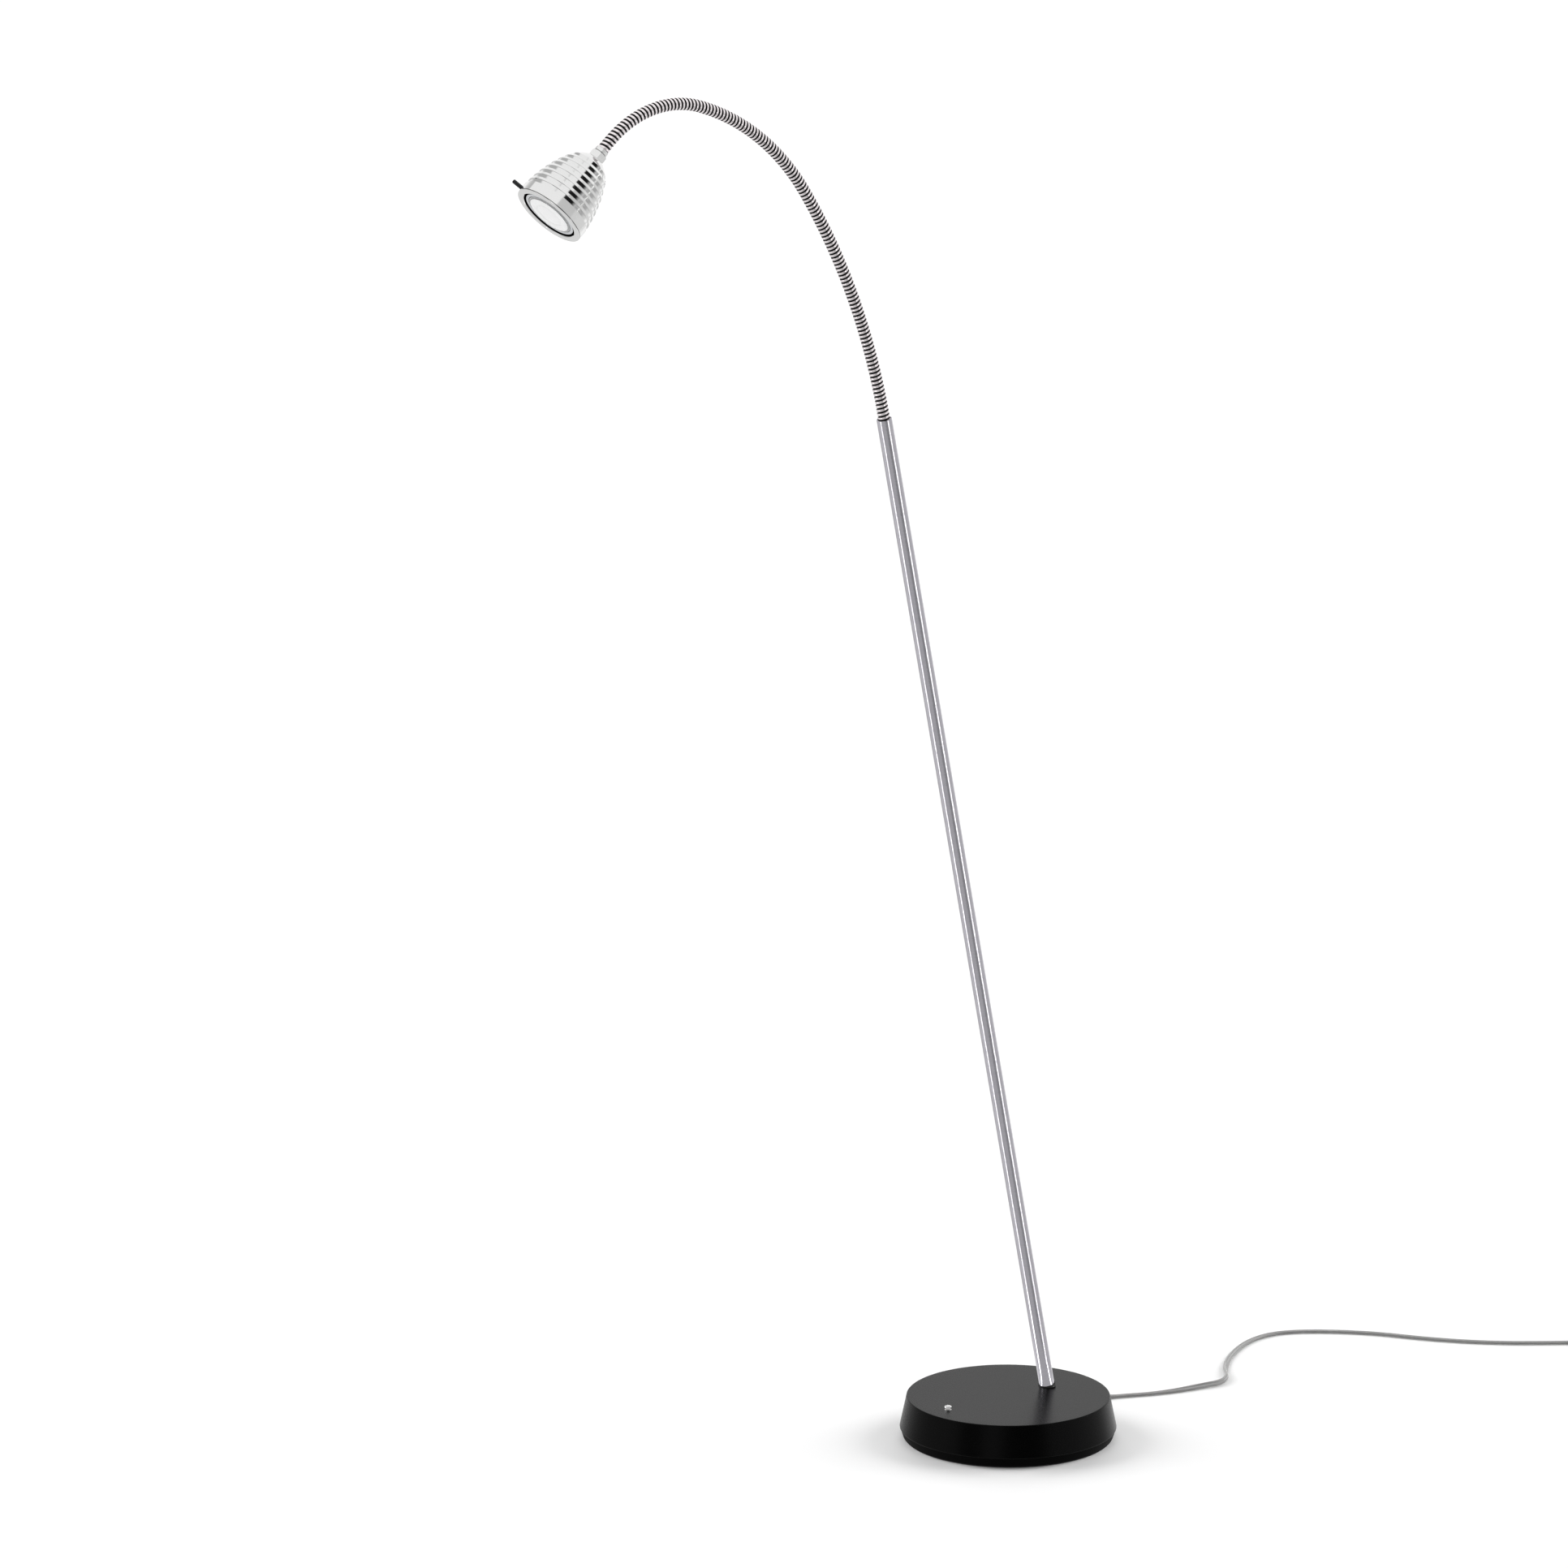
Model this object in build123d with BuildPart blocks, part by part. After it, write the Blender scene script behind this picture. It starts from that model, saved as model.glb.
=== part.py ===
from build123d import *

import os
from math import cos, degrees, pi, radians, sin, tan

# A reading floor lamp: a heavy black puck of a base, a bright leaning tube, a gooseneck
# that bows forward over the reader, and a finned aluminium head for a 50 mm reflector lamp.
# Millimetres. +Z is up, the lamp leans and looks towards -Y, X = 0 is its plane of symmetry,
# and the origin is the centre of the felt that the base stands on.

# ---------------------------------------------------------------- driving dimensions
PLAY = 0.3  # between pieces that only lie in or beside one another
THREAD_GAP = 0.05  # radial, between a thread and its nut

# base
BASE_RADIUS = 100.0  # at its widest, low down
BASE_TOP_RADIUS = 93.7
BASE_HEIGHT = 39.7
WIDEST_Z = 9.6  # where the cover stands on the tray
COVER_WALL = 2.5
COVER_TOP = 3.0
RIM_BEVEL = 0.7
FELT_THICKNESS = 1.5
FELT_MARGIN = 1.2  # how far the felt stays inside the tray's edge
TRAY_FLOOR = 3.0
TRAY_TAPER = 2.7  # how far the tray draws in towards the floor
TRAY_STEP = 0.6  # shadow step between the tray and the cover
SPIGOT_HEIGHT = 3.4
SPIGOT_WALL = 2.7
WEIGHT_GAP = 3.0  # between the weight and the tray's spigot
WEIGHT_TOP_GAP = 1.3  # between the weight and the cover, under its top
SCREW_FROM_EDGE = 10.5  # from the weight's edge to the screws
SCREW_RADIUS = 2.5
SCREW_HEAD_RADIUS = 4.8
SCREW_HEAD_HEIGHT = 2.3
SCREW_LENGTH = 16.0
SCREW_COUNT = 4

# transformer in the weight's pocket
COIL_RADIUS = 33.0
COIL_HOLE = 11.0
COIL_ROUNDING = 4.0
COIL_Y = -14.0
POCKET_GAP = 3.0
CLAMP_RADIUS = 17.0
CLAMP_THICKNESS = 2.0
BOLT_RADIUS = 2.5
BOLT_TAIL = 3.0
BOLT_END_GAP = 1.2  # between the bolt and the cover, under its top

# push switch
SWITCH_FROM_RIM = 22.4
CAP_RADIUS = 3.7
CAP_EDGE = 0.9  # height of the cap's straight edge, under its dome
CAP_RISE = 2.6
BUTTON_TRAVEL = 1.6
BUTTON_SPARE = 0.3  # air left under the pressed cap
STEM_RADIUS = 1.8
STEM_GAP = 0.06
BUSH_RADIUS = 3.2
BUSH_FLANGE_RADIUS = 5.6
BUSH_FLANGE = 2.0
SWITCH_SIZE = 12.0
SWITCH_HEIGHT = 17.0
SWITCH_WALL = 2.0
SWITCH_POCKET = 11.0
SPRING_WIRE = 0.35
SPRING_TURNS = 4
SPRING_RADIUS = 2.6
SPRING_HEIGHT = 8.0

# pole
POLE_RADIUS = 7.0
POLE_WALL = 1.0
POLE_LENGTH = 957.3
POLE_LEAN = 11.77  # degrees, towards -Y
POLE_FOOT_Y = 46.4  # where the pole's axis meets the top of the base
SEAT_LIP = 0.4  # the wedge's thickness at the front edge of the tube
SEAT_MARGIN = 1.0  # how far the wedge stands out round the tube
STUD_RADIUS = 5.0
STUD_BORE = 3.0
STUD_UP = 26.0  # into the tube
NUT_DEPTH = 15.0  # from the base's top to the washer, along the pole
WASHER_RADIUS = 9.4
WASHER_THICKNESS = 1.5
FOOT_NUT_FLATS = 15.0
FOOT_NUT_THICKNESS = 5.0
STUD_TAIL = 2.0
INSERT_LENGTH = 22.0
CABLE_RADIUS = 2.0

# gooseneck: arcs from the tube's mouth to the head, each a length and the degrees it turns down
NECK_BENDS = ((236.0, 21.8), (149.0, 37.7), (105.0, 59.4))
NECK_STRAIGHT = 11.0  # the last stretch, into the head's ferrule
NECK_IN_TUBE = 30.0
NECK_RADIUS = 5.5
NECK_BORE = 2.6
RIB_PITCH = 3.5
RIB_GROOVE = 0.7
RIB_SLOPE = 0.3
RIB_DEPTH = 0.5
BALL_RADIUS = 4.4
BALL_GAP = 0.1
PIVOT_GAP = 1.2  # from a pivot to the ribs on each side of it
TURN_PIVOTS = 7  # placed by how far the neck has turned
FILL_PIVOTS = 5  # placed in the longest stretches between them
BUSH_LENGTH = 18.0
BUSH_DEPTH = 8.0

# head, measured along its axis from the end of the neck
FERRULE_RADIUS = 6.3
FERRULE_LENGTH = 3.6
SPINDLE_RADIUS = 4.0
SPINDLE_GAP = 0.1
SPINDLE_END = 21.0
RUN_GAP = 0.3  # between faces that turn past each other
HEAD_NUT_END = 11.5
HEAD_NUT_FLATS = 14.2
NUT_CHAMFER = 1.2
REAR_WALL = 3.5
FRICTION_RADIUS = 7.4
FRICTION_THICKNESS = 0.8
RETAINER_RADIUS = 7.0
RETAINER_THICKNESS = 3.6
REAR_FACE_RADIUS = 9.0
BAND_RADIUS = 33.4
BAND_LENGTH = 12.2  # from the front face to where the fins begin
BELL_START_RADIUS = 33.2
BELL_ARCS = (2.212, 0.762)  # radii of the front and rear arc, as shares of the bell's length
BELL_SLOPES = (5.7, 24.2, 54.0)  # degrees off the axis where those arcs begin, join and end
BELL_WALL = 3.4
FIN_PITCH = 6.33
FIN_GROOVES = 8
FIN_GROOVE_WIDTH = 2.8
FIN_GROOVE_DEPTH = 1.8
RING_FLANGE = 1.2
RING_RADIUS = 27.2
RING_SPIGOT_RADIUS = 29.6
RING_DEPTH = 7.0
RING_BEVEL = 0.7
ROD_RADIUS = 1.85
ROD_REACH = 9.5
ROD_ANGLE = 124.0  # round the head's axis, from +X over its upper side
ROD_SETBACK = 4.2
ROD_SHANK_RADIUS = 1.3
ROD_SHANK_DEPTH = 2.4
GRUB_ANGLE = 320.0
GRUB_POSITION = 23.9
GRUB_RADIUS = 2.0
GRUB_LENGTH = 3.0
LAMP_RADIUS = 25.35
LAMP_SETBACK = 1.5
LAMP_DEPTH = 38.0
LAMP_RIM = 2.2
LAMP_GLASS = 1.6
LAMP_NECK_RADIUS = 8.5
LENS_THICKNESS = 1.6
LENS_STEP_RADIUS = 15.5
LENS_STEP = 0.5
LAMP_BASE_LENGTH = 9.0
LAMP_BASE_WIDTH = 12.0
LAMP_BASE_THICKNESS = 8.0
LAMP_BASE_ROUNDING = 2.0
PIN_SPACING = 5.33
PIN_RADIUS = 0.75
PIN_LENGTH = 6.5
CAPSULE_RADIUS = 4.0
CAPSULE_LENGTH = 14.0
HOLDER_RADIUS = 9.0
BRACKET_POSITION = 23.4
HOLDER_BACK = 6.6  # of the holder, behind the tips of the lamp's pins
BRACKET_THICKNESS = 1.2
BRACKET_WIDTH = 14.0

# cord and plug
CORD_RADIUS = 2.8
GLAND_ANGLE = 105.0  # round the base from +X: at the back, a little to the -X side
GLAND_WIDTH = 7.6
GLAND_HEIGHT = 4.7
BOOT_LENGTH = 20.0
BOOT_TIP_WIDTH = 6.4
BOOT_TIP_HEIGHT = 3.8
GLAND_INSIDE = 7.0
BOOT_RUN = 14.0  # how far the cord runs straight on from the boot
CORD_DROP_Z = 4.2  # its height where it comes down to the floor
LOOP_RADIUS = 40.5
LOOP_PITCH = 6.3
LAYER_PITCH = 6.3
INWARD_HALVES = 6
OUTWARD_HALVES = 5
TAIL_GAP = 12.0  # how far outside the loops the tail lies
TAIL_RUN = 15.0  # how far it runs straight on from them
TAIL_ANGLES = (55.0, 80.0, 105.0)  # its other points, in degrees round the loops
TAIL_DROP = 0.8  # how far it comes down to the first of them
PLUG_WIDTH = 35.3
PLUG_REAR_WIDTH = 14.0
PLUG_THICKNESS = 13.7
PLUG_LENGTH = 36.0
PLUG_NOSE = 9.0
PLUG_ROUNDING = 2.5
PLUG_PIN_RADIUS = 2.0
PLUG_PIN_LENGTH = 19.0
PLUG_PIN_SPACING = 18.6
PLUG_PIN_ROUNDING = 1.2

# the cord's route over the floor, from where it comes down to the put-away loops: x, y
CORD_ROUTE = (
    (-33.0, 149.0),
    (-25.0, 167.0),
    (-15.0, 187.0),
    (-6.0, 212.0),
    (0.5, 236.0),
    (3.5, 254.0),
    (-5.0, 270.0),
    (-19.0, 280.0),
    (-37.0, 295.0),
    (-54.0, 314.0),
    (-69.0, 336.0),
    (-81.0, 359.0),
    (-87.0, 382.0),
    (-85.0, 404.0),
    (-73.0, 426.0),
    (-54.0, 449.0),
    (-24.0, 476.0),
    (11.0, 497.0),
    (44.0, 522.0),
    (73.0, 551.0),
    (98.0, 584.0),
    (122.0, 617.0),
    (141.0, 652.0),
)

# ---------------------------------------------------------------- places worked out from them
CABLE_GAP = 0.2  # between a run of cable and the next


def cover_radius(z):
    """Outer radius of the cover's conical side at height z."""
    slope = (BASE_RADIUS - BASE_TOP_RADIUS) / (BASE_HEIGHT - WIDEST_Z)
    return BASE_RADIUS - (z - WIDEST_Z) * slope


COVER_UNDERSIDE = BASE_HEIGHT - COVER_TOP
TRAY_TOP = FELT_THICKNESS + TRAY_FLOOR
SPIGOT_TOP = WIDEST_Z + SPIGOT_HEIGHT
SPIGOT_RADIUS = cover_radius(SPIGOT_TOP) - COVER_WALL - 2 * PLAY
WEIGHT_RADIUS = min(
    SPIGOT_RADIUS - SPIGOT_WALL - WEIGHT_GAP,
    cover_radius(COVER_UNDERSIDE) - COVER_WALL - WEIGHT_TOP_GAP,
)
SCREW_CIRCLE = WEIGHT_RADIUS - SCREW_FROM_EDGE
SWITCH_Y = SWITCH_FROM_RIM - BASE_TOP_RADIUS
WEIGHT_HEIGHT = COVER_UNDERSIDE - TRAY_TOP
COIL_HEIGHT = WEIGHT_HEIGHT - CLAMP_THICKNESS - BOLT_TAIL - BOLT_END_GAP

LEAN = radians(POLE_LEAN)
POLE_AXIS = Vector(0, -sin(LEAN), cos(LEAN))
POLE_FOOT = Vector(0, POLE_FOOT_Y, BASE_HEIGHT)
TUBE_RISE = (SEAT_LIP + POLE_RADIUS * sin(LEAN)) / cos(LEAN)  # from there to the tube's square end
POLE_TOP = POLE_FOOT + POLE_AXIS * (TUBE_RISE + POLE_LENGTH)
TUBE_BORE = POLE_RADIUS - POLE_WALL
pole_plane = Plane(origin=POLE_FOOT, x_dir=(1, 0, 0), z_dir=POLE_AXIS)
pole_profile = Plane(origin=POLE_FOOT, x_dir=(1, 0, 0), z_dir=(0, -cos(LEAN), -sin(LEAN)))
pole_axis = Axis(POLE_FOOT, POLE_AXIS)

NECK_LENGTH = sum(length for length, turn in NECK_BENDS) + NECK_STRAIGHT
NECK_TURN = sum(turn for length, turn in NECK_BENDS)
NECK_STRETCHES = ((NECK_IN_TUBE, 0.0),) + NECK_BENDS + ((NECK_STRAIGHT, 0.0),)


def neck_frame(s):
    """Point on the neck's centre line, s from the tube's mouth, and its heading above the horizontal."""
    heading = pi / 2 - LEAN
    start = POLE_TOP - POLE_AXIS * NECK_IN_TUBE
    y, z = start.Y, start.Z
    left = s + NECK_IN_TUBE
    for length, turn in NECK_STRETCHES:
        step = min(left, length)
        if turn == 0:
            y -= step * cos(heading)
            z += step * sin(heading)
        else:
            radius = length / radians(turn)
            end = heading - step / radius
            y += radius * (sin(end) - sin(heading))
            z += radius * (cos(end) - cos(heading))
            heading = end
        left -= step
    return Vector(0, y, z), heading


def neck_point(s):
    """Point on the neck's centre line, s from the tube's mouth."""
    return neck_frame(s)[0]


def neck_plane(s):
    """Plane square to the neck at s, its X axis always across the lamp."""
    point, heading = neck_frame(s)
    return Plane(origin=point, x_dir=(1, 0, 0), z_dir=(0, -cos(heading), sin(heading)))


def draw_neck(start, end):
    """Draws the neck's centre line from start to end as lines and arcs."""
    joints = [0.0]
    for length, turn in NECK_BENDS:
        joints.append(joints[-1] + length)
    stops = [start] + [joint for joint in joints if start < joint < end] + [end]
    for a, b in zip(stops, stops[1:]):
        if b <= joints[0] or a >= joints[-1]:
            Line(neck_point(a), neck_point(b))
        else:
            ThreePointArc(neck_point(a), neck_point((a + b) / 2), neck_point(b))


def turn_pivots():
    """Places of the first pivots: evenly by how far the neck has turned."""
    places = []
    for i in range(TURN_PIVOTS):
        target = (i + 0.5) * NECK_TURN / TURN_PIVOTS
        s = 0.0
        for length, turn in NECK_BENDS:
            if target <= turn:
                places.append(s + length * target / turn)
                break
            target -= turn
            s += length
    return places


def fill_pivots(others):
    """Places of the other pivots: one by one, in the middle of the longest stretch left."""
    stops = [0.0] + others + [NECK_LENGTH]
    places = []
    for i in range(FILL_PIVOTS):
        gaps = [(b - a, (a + b) / 2) for a, b in zip(stops, stops[1:])]
        places.append(max(gaps)[1])
        stops = sorted(stops + places[-1:])
    return sorted(places)


PIVOTS = sorted(turn_pivots() + fill_pivots(turn_pivots()))
SIDES, BENDS = PIVOTS[0::2], PIVOTS[1::2]  # sideways and in-plane pivots take turns

HEAD_ORIGIN, head_heading = neck_frame(NECK_LENGTH)
HEAD_AXIS = Vector(0, -cos(head_heading), sin(head_heading))
HEAD_UP = Vector(0, sin(head_heading), cos(head_heading))  # square to the axis, towards the head's upper side
head_plane = Plane(origin=HEAD_ORIGIN, x_dir=(1, 0, 0), z_dir=HEAD_AXIS)
head_profile = Plane(origin=HEAD_ORIGIN, x_dir=HEAD_UP, z_dir=(1, 0, 0))
head_axis = Axis(HEAD_ORIGIN, HEAD_AXIS)
REAR_FACE = HEAD_NUT_END
CAVITY_START = REAR_FACE + REAR_WALL
HOLDER_REAR = BRACKET_POSITION + BRACKET_THICKNESS
PIN_TIPS = HOLDER_REAR + HOLDER_BACK + PLAY
LAMP_REAR = PIN_TIPS + PIN_LENGTH
LAMP_FACE = LAMP_REAR + LAMP_DEPTH
HOLDER_FRONT = LAMP_REAR - PLAY
HEAD_LENGTH = LAMP_FACE + LAMP_SETBACK
BELL_START = HEAD_LENGTH - BAND_LENGTH


def bell_point(arc, slope, inset):
    """A point (radius, position) on an arc of the bell, where its side lies slope degrees off the axis."""
    first, join, last = (radians(angle) for angle in BELL_SLOPES)
    front, rear = (share * (BELL_START - REAR_FACE) for share in BELL_ARCS)
    centre_r = BELL_START_RADIUS - front * cos(first)
    centre_w = BELL_START + front * sin(first)
    radius = front
    if arc == 1:
        centre_r += (front - rear) * cos(join)
        centre_w -= (front - rear) * sin(join)
        radius = rear
    angle = radians(slope)
    return (centre_r + (radius - inset) * cos(angle), centre_w - (radius - inset) * sin(angle))


def bell_radius(w):
    """Outer radius of the bell at position w along the head."""
    first, join, last = BELL_SLOPES
    arc = 0 if w >= bell_point(0, join, 0)[1] else 1
    low, high = (first, join) if arc == 0 else (join, degrees(pi / 2))
    for i in range(40):
        middle = (low + high) / 2
        if bell_point(arc, middle, 0)[1] > w:
            low = middle
        else:
            high = middle
    return bell_point(arc, low, 0)[0]


def draw_bell(inset):
    """Draws the bell's side, inset mm inside its outside, from the band to the rear."""
    for arc in (0, 1):
        low, high = BELL_SLOPES[arc], BELL_SLOPES[arc + 1]
        ThreePointArc(*(bell_point(arc, slope, inset) for slope in (low, (low + high) / 2, high)))


def head_direction(angle):
    """Unit vector square to the head's axis, angle degrees from +X over the head's upper side."""
    return Vector(1, 0, 0) * cos(radians(angle)) + HEAD_UP * sin(radians(angle))


parts = {}


def keep(name, builder):
    """Names a finished sub-part and writes it to its own file."""
    builder.part.label = name
    parts[name] = builder.part
    export_step(builder.part, f"parts/{name}.step")


os.makedirs("parts", exist_ok=True)

# ---------------------------------------------------------------- base
GLAND = radians(GLAND_ANGLE)
GLAND_OUT = Vector(cos(GLAND), sin(GLAND), 0)
GLAND_Z = TRAY_TOP + PLAY / 2 + GLAND_HEIGHT / 2
GLAND_FACE = cover_radius(WIDEST_Z)  # the boot starts flush with the base's widest edge


def gland_plane(distance):
    """Plane square to the cord's way out, at a distance from the base's centre."""
    origin = GLAND_OUT * distance + Vector(0, 0, GLAND_Z)
    return Plane(origin=origin, x_dir=(-sin(GLAND), cos(GLAND), 0), z_dir=GLAND_OUT)


with BuildPart() as base_felt:
    with BuildSketch():
        Circle(BASE_RADIUS - TRAY_STEP - TRAY_TAPER - FELT_MARGIN)
    extrude(amount=FELT_THICKNESS)
keep("base_felt", base_felt)

# the tray that closes the base from below, drawn in towards the floor
with BuildPart() as base_tray:
    with BuildSketch(Plane.XZ):
        with BuildLine():
            Polyline(
                (0, FELT_THICKNESS),
                (BASE_RADIUS - TRAY_STEP - TRAY_TAPER, FELT_THICKNESS),
                (BASE_RADIUS - TRAY_STEP, WIDEST_Z),
                (SPIGOT_RADIUS, WIDEST_Z),
                (SPIGOT_RADIUS, SPIGOT_TOP),
                (SPIGOT_RADIUS - SPIGOT_WALL, SPIGOT_TOP),
                (SPIGOT_RADIUS - SPIGOT_WALL, TRAY_TOP),
                (0, TRAY_TOP),
                close=True,
            )
        make_face()
    revolve(axis=Axis.Z)
    # screws into the weight, and the transformer's bolt
    with Locations(Plane(origin=(0, 0, FELT_THICKNESS), x_dir=(1, 0, 0), z_dir=(0, 0, -1))):
        with PolarLocations(SCREW_CIRCLE, SCREW_COUNT, start_angle=45):
            CounterSinkHole(SCREW_RADIUS + PLAY, SCREW_HEAD_RADIUS + PLAY, TRAY_FLOOR)
        with Locations((0, -COIL_Y)):
            CounterSinkHole(BOLT_RADIUS + PLAY, SCREW_HEAD_RADIUS + PLAY, TRAY_FLOOR)
    # notch for the cord's gland
    with BuildSketch(gland_plane(SPIGOT_RADIUS - SPIGOT_WALL - PLAY)):
        with Locations((0, SPIGOT_TOP / 2)):
            Rectangle(GLAND_WIDTH + PLAY, GLAND_HEIGHT + PLAY + SPIGOT_TOP)
    extrude(amount=BASE_RADIUS - SPIGOT_RADIUS + 2 * SPIGOT_WALL, mode=Mode.SUBTRACT)
keep("base_tray", base_tray)

# the black cover: a conical side and a flat top, with holes for the pole and the switch
with BuildPart() as base_cover:
    with BuildSketch(Plane.XZ):
        with BuildLine():
            Polyline(
                (BASE_RADIUS - COVER_WALL, WIDEST_Z),
                (BASE_RADIUS, WIDEST_Z),
                (BASE_TOP_RADIUS, BASE_HEIGHT),
                (0, BASE_HEIGHT),
                (0, COVER_UNDERSIDE),
                (cover_radius(COVER_UNDERSIDE) - COVER_WALL, COVER_UNDERSIDE),
                close=True,
            )
        make_face()
    revolve(axis=Axis.Z)
    rim = base_cover.edges().filter_by(GeomType.CIRCLE).group_by(Axis.Z)[-1].sort_by(SortBy.RADIUS)[-1]
    fillet(rim, RIM_BEVEL)
    with BuildSketch(pole_plane):
        Circle(STUD_RADIUS + PLAY)
    extrude(amount=2 * COVER_TOP, both=True, mode=Mode.SUBTRACT)
    with BuildSketch(Plane.XY.offset(BASE_HEIGHT)):
        with Locations((0, SWITCH_Y)):
            Circle(BUSH_RADIUS + THREAD_GAP)
    extrude(amount=-COVER_TOP, mode=Mode.SUBTRACT)
keep("base_cover", base_cover)

# cast-iron weight between the tray's floor and the cover's top
with BuildPart() as base_weight:
    with BuildSketch(Plane.XY.offset(TRAY_TOP)):
        Circle(WEIGHT_RADIUS)
        with Locations((0, COIL_Y)):
            Circle(COIL_RADIUS + POCKET_GAP, mode=Mode.SUBTRACT)
        with Locations((0, SWITCH_Y)):
            Circle(SWITCH_POCKET, mode=Mode.SUBTRACT)
        with PolarLocations(SCREW_CIRCLE, SCREW_COUNT, start_angle=45):
            Circle(SCREW_RADIUS + THREAD_GAP, mode=Mode.SUBTRACT)
    extrude(amount=WEIGHT_HEIGHT)
    # hole for the pole's stud, and the recess for its nut from below
    with BuildSketch(pole_plane):
        Circle(STUD_RADIUS + PLAY)
    extrude(amount=-NUT_DEPTH, mode=Mode.SUBTRACT)
    with BuildSketch(pole_plane.offset(-NUT_DEPTH)):
        Circle(WASHER_RADIUS + PLAY)
    extrude(amount=-BASE_HEIGHT, mode=Mode.SUBTRACT)
    # channel for the cord, and one for the switch's leads
    with BuildSketch(gland_plane(WEIGHT_RADIUS + PLAY)):
        Rectangle(GLAND_WIDTH + 2 * PLAY, 2 * (GLAND_Z - TRAY_TOP) + 2 * PLAY)
    extrude(amount=COIL_RADIUS - WEIGHT_RADIUS, mode=Mode.SUBTRACT)
    with BuildSketch(Plane.XY.offset(TRAY_TOP)):
        with Locations((0, (COIL_Y - COIL_RADIUS + SWITCH_Y) / 2)):
            Rectangle(GLAND_WIDTH, COIL_Y - COIL_RADIUS - SWITCH_Y)
        with Locations((0, (COIL_Y + COIL_RADIUS + POLE_FOOT_Y) / 2)):
            Rectangle(GLAND_WIDTH, POLE_FOOT_Y - COIL_Y - COIL_RADIUS)
    extrude(amount=GLAND_HEIGHT, mode=Mode.SUBTRACT)
keep("base_weight", base_weight)

# countersunk screws from under the tray into the weight
with BuildPart() as base_screws:
    for i in range(SCREW_COUNT):
        angle = radians(45 + i * 360 / SCREW_COUNT)
        foot = Plane(origin=(SCREW_CIRCLE * cos(angle), SCREW_CIRCLE * sin(angle), FELT_THICKNESS))
        with BuildSketch(foot):
            Circle(SCREW_RADIUS)
        extrude(amount=SCREW_LENGTH)
        with BuildSketch(foot):
            Circle(SCREW_HEAD_RADIUS)
        with BuildSketch(foot.offset(SCREW_HEAD_HEIGHT)):
            Circle(SCREW_RADIUS)
        loft()
keep("base_screws", base_screws)

# toroidal transformer, its clamping dish and bolt
with BuildPart() as transformer:
    with BuildSketch(Plane.XY.offset(TRAY_TOP)):
        with Locations((0, COIL_Y)):
            Circle(COIL_RADIUS)
            Circle(COIL_HOLE, mode=Mode.SUBTRACT)
    extrude(amount=COIL_HEIGHT)
    outer = transformer.edges().filter_by(GeomType.CIRCLE).group_by(SortBy.RADIUS)[-1]
    fillet(outer, COIL_ROUNDING)
keep("transformer", transformer)

with BuildPart() as transformer_clamp:
    with BuildSketch(Plane.XY.offset(TRAY_TOP + COIL_HEIGHT)):
        with Locations((0, COIL_Y)):
            Circle(CLAMP_RADIUS)
            Circle(BOLT_RADIUS + THREAD_GAP, mode=Mode.SUBTRACT)
    extrude(amount=CLAMP_THICKNESS)
keep("transformer_clamp", transformer_clamp)

with BuildPart() as transformer_bolt:
    bolt_foot = Plane(origin=(0, COIL_Y, FELT_THICKNESS))
    with BuildSketch(bolt_foot):
        Circle(BOLT_RADIUS)
    extrude(amount=TRAY_FLOOR + COIL_HEIGHT + CLAMP_THICKNESS + BOLT_TAIL - PLAY)
    with BuildSketch(bolt_foot):
        Circle(SCREW_HEAD_RADIUS)
    with BuildSketch(bolt_foot.offset(SCREW_HEAD_HEIGHT)):
        Circle(BOLT_RADIUS)
    loft()
keep("transformer_bolt", transformer_bolt)

# rubber gland: a block in the tray's notch, and a boot that tapers out behind the lamp
with BuildPart() as cord_gland:
    with BuildSketch(gland_plane(GLAND_FACE - GLAND_INSIDE)):
        RectangleRounded(GLAND_WIDTH, GLAND_HEIGHT, 0.8)
    extrude(amount=GLAND_INSIDE)
    with BuildSketch(gland_plane(GLAND_FACE)):
        RectangleRounded(GLAND_WIDTH, GLAND_HEIGHT, 0.8)
    with BuildSketch(gland_plane(GLAND_FACE + BOOT_LENGTH)):
        RectangleRounded(BOOT_TIP_WIDTH, BOOT_TIP_HEIGHT, 0.8)
    loft()
keep("cord_gland", cord_gland)

# the mains lead inside, from the gland to the transformer
with BuildPart() as base_lead:
    with BuildSketch(gland_plane(GLAND_FACE - GLAND_INSIDE)):
        Circle(CABLE_RADIUS)
    extrude(amount=-(GLAND_FACE - GLAND_INSIDE - COIL_RADIUS - POCKET_GAP + COIL_Y * sin(GLAND)))
keep("base_lead", base_lead)

# ---------------------------------------------------------------- push switch
BUTTON_GAP = BUTTON_TRAVEL + BUTTON_SPARE
STEM_END = COVER_UNDERSIDE - BUSH_FLANGE - SWITCH_WALL - PLAY
with BuildPart() as switch_button:
    with BuildSketch(Plane(origin=(0, SWITCH_Y, 0), x_dir=(1, 0, 0), z_dir=(0, -1, 0))):
        with BuildLine():
            cap_low = BASE_HEIGHT + BUTTON_GAP
            Polyline(
                (0, cap_low + CAP_RISE),
                (0, STEM_END),
                (STEM_RADIUS, STEM_END),
                (STEM_RADIUS, cap_low),
                (CAP_RADIUS, cap_low),
                (CAP_RADIUS, cap_low + CAP_EDGE),
            )
            dome = CAP_RISE - CAP_EDGE
            RadiusArc(
                (CAP_RADIUS, cap_low + CAP_EDGE),
                (0, cap_low + CAP_RISE),
                -(CAP_RADIUS**2 + dome**2) / (2 * dome),
            )
        make_face()
    revolve(axis=Axis((0, SWITCH_Y, 0), (0, 0, 1)))
keep("switch_button", switch_button)

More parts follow.
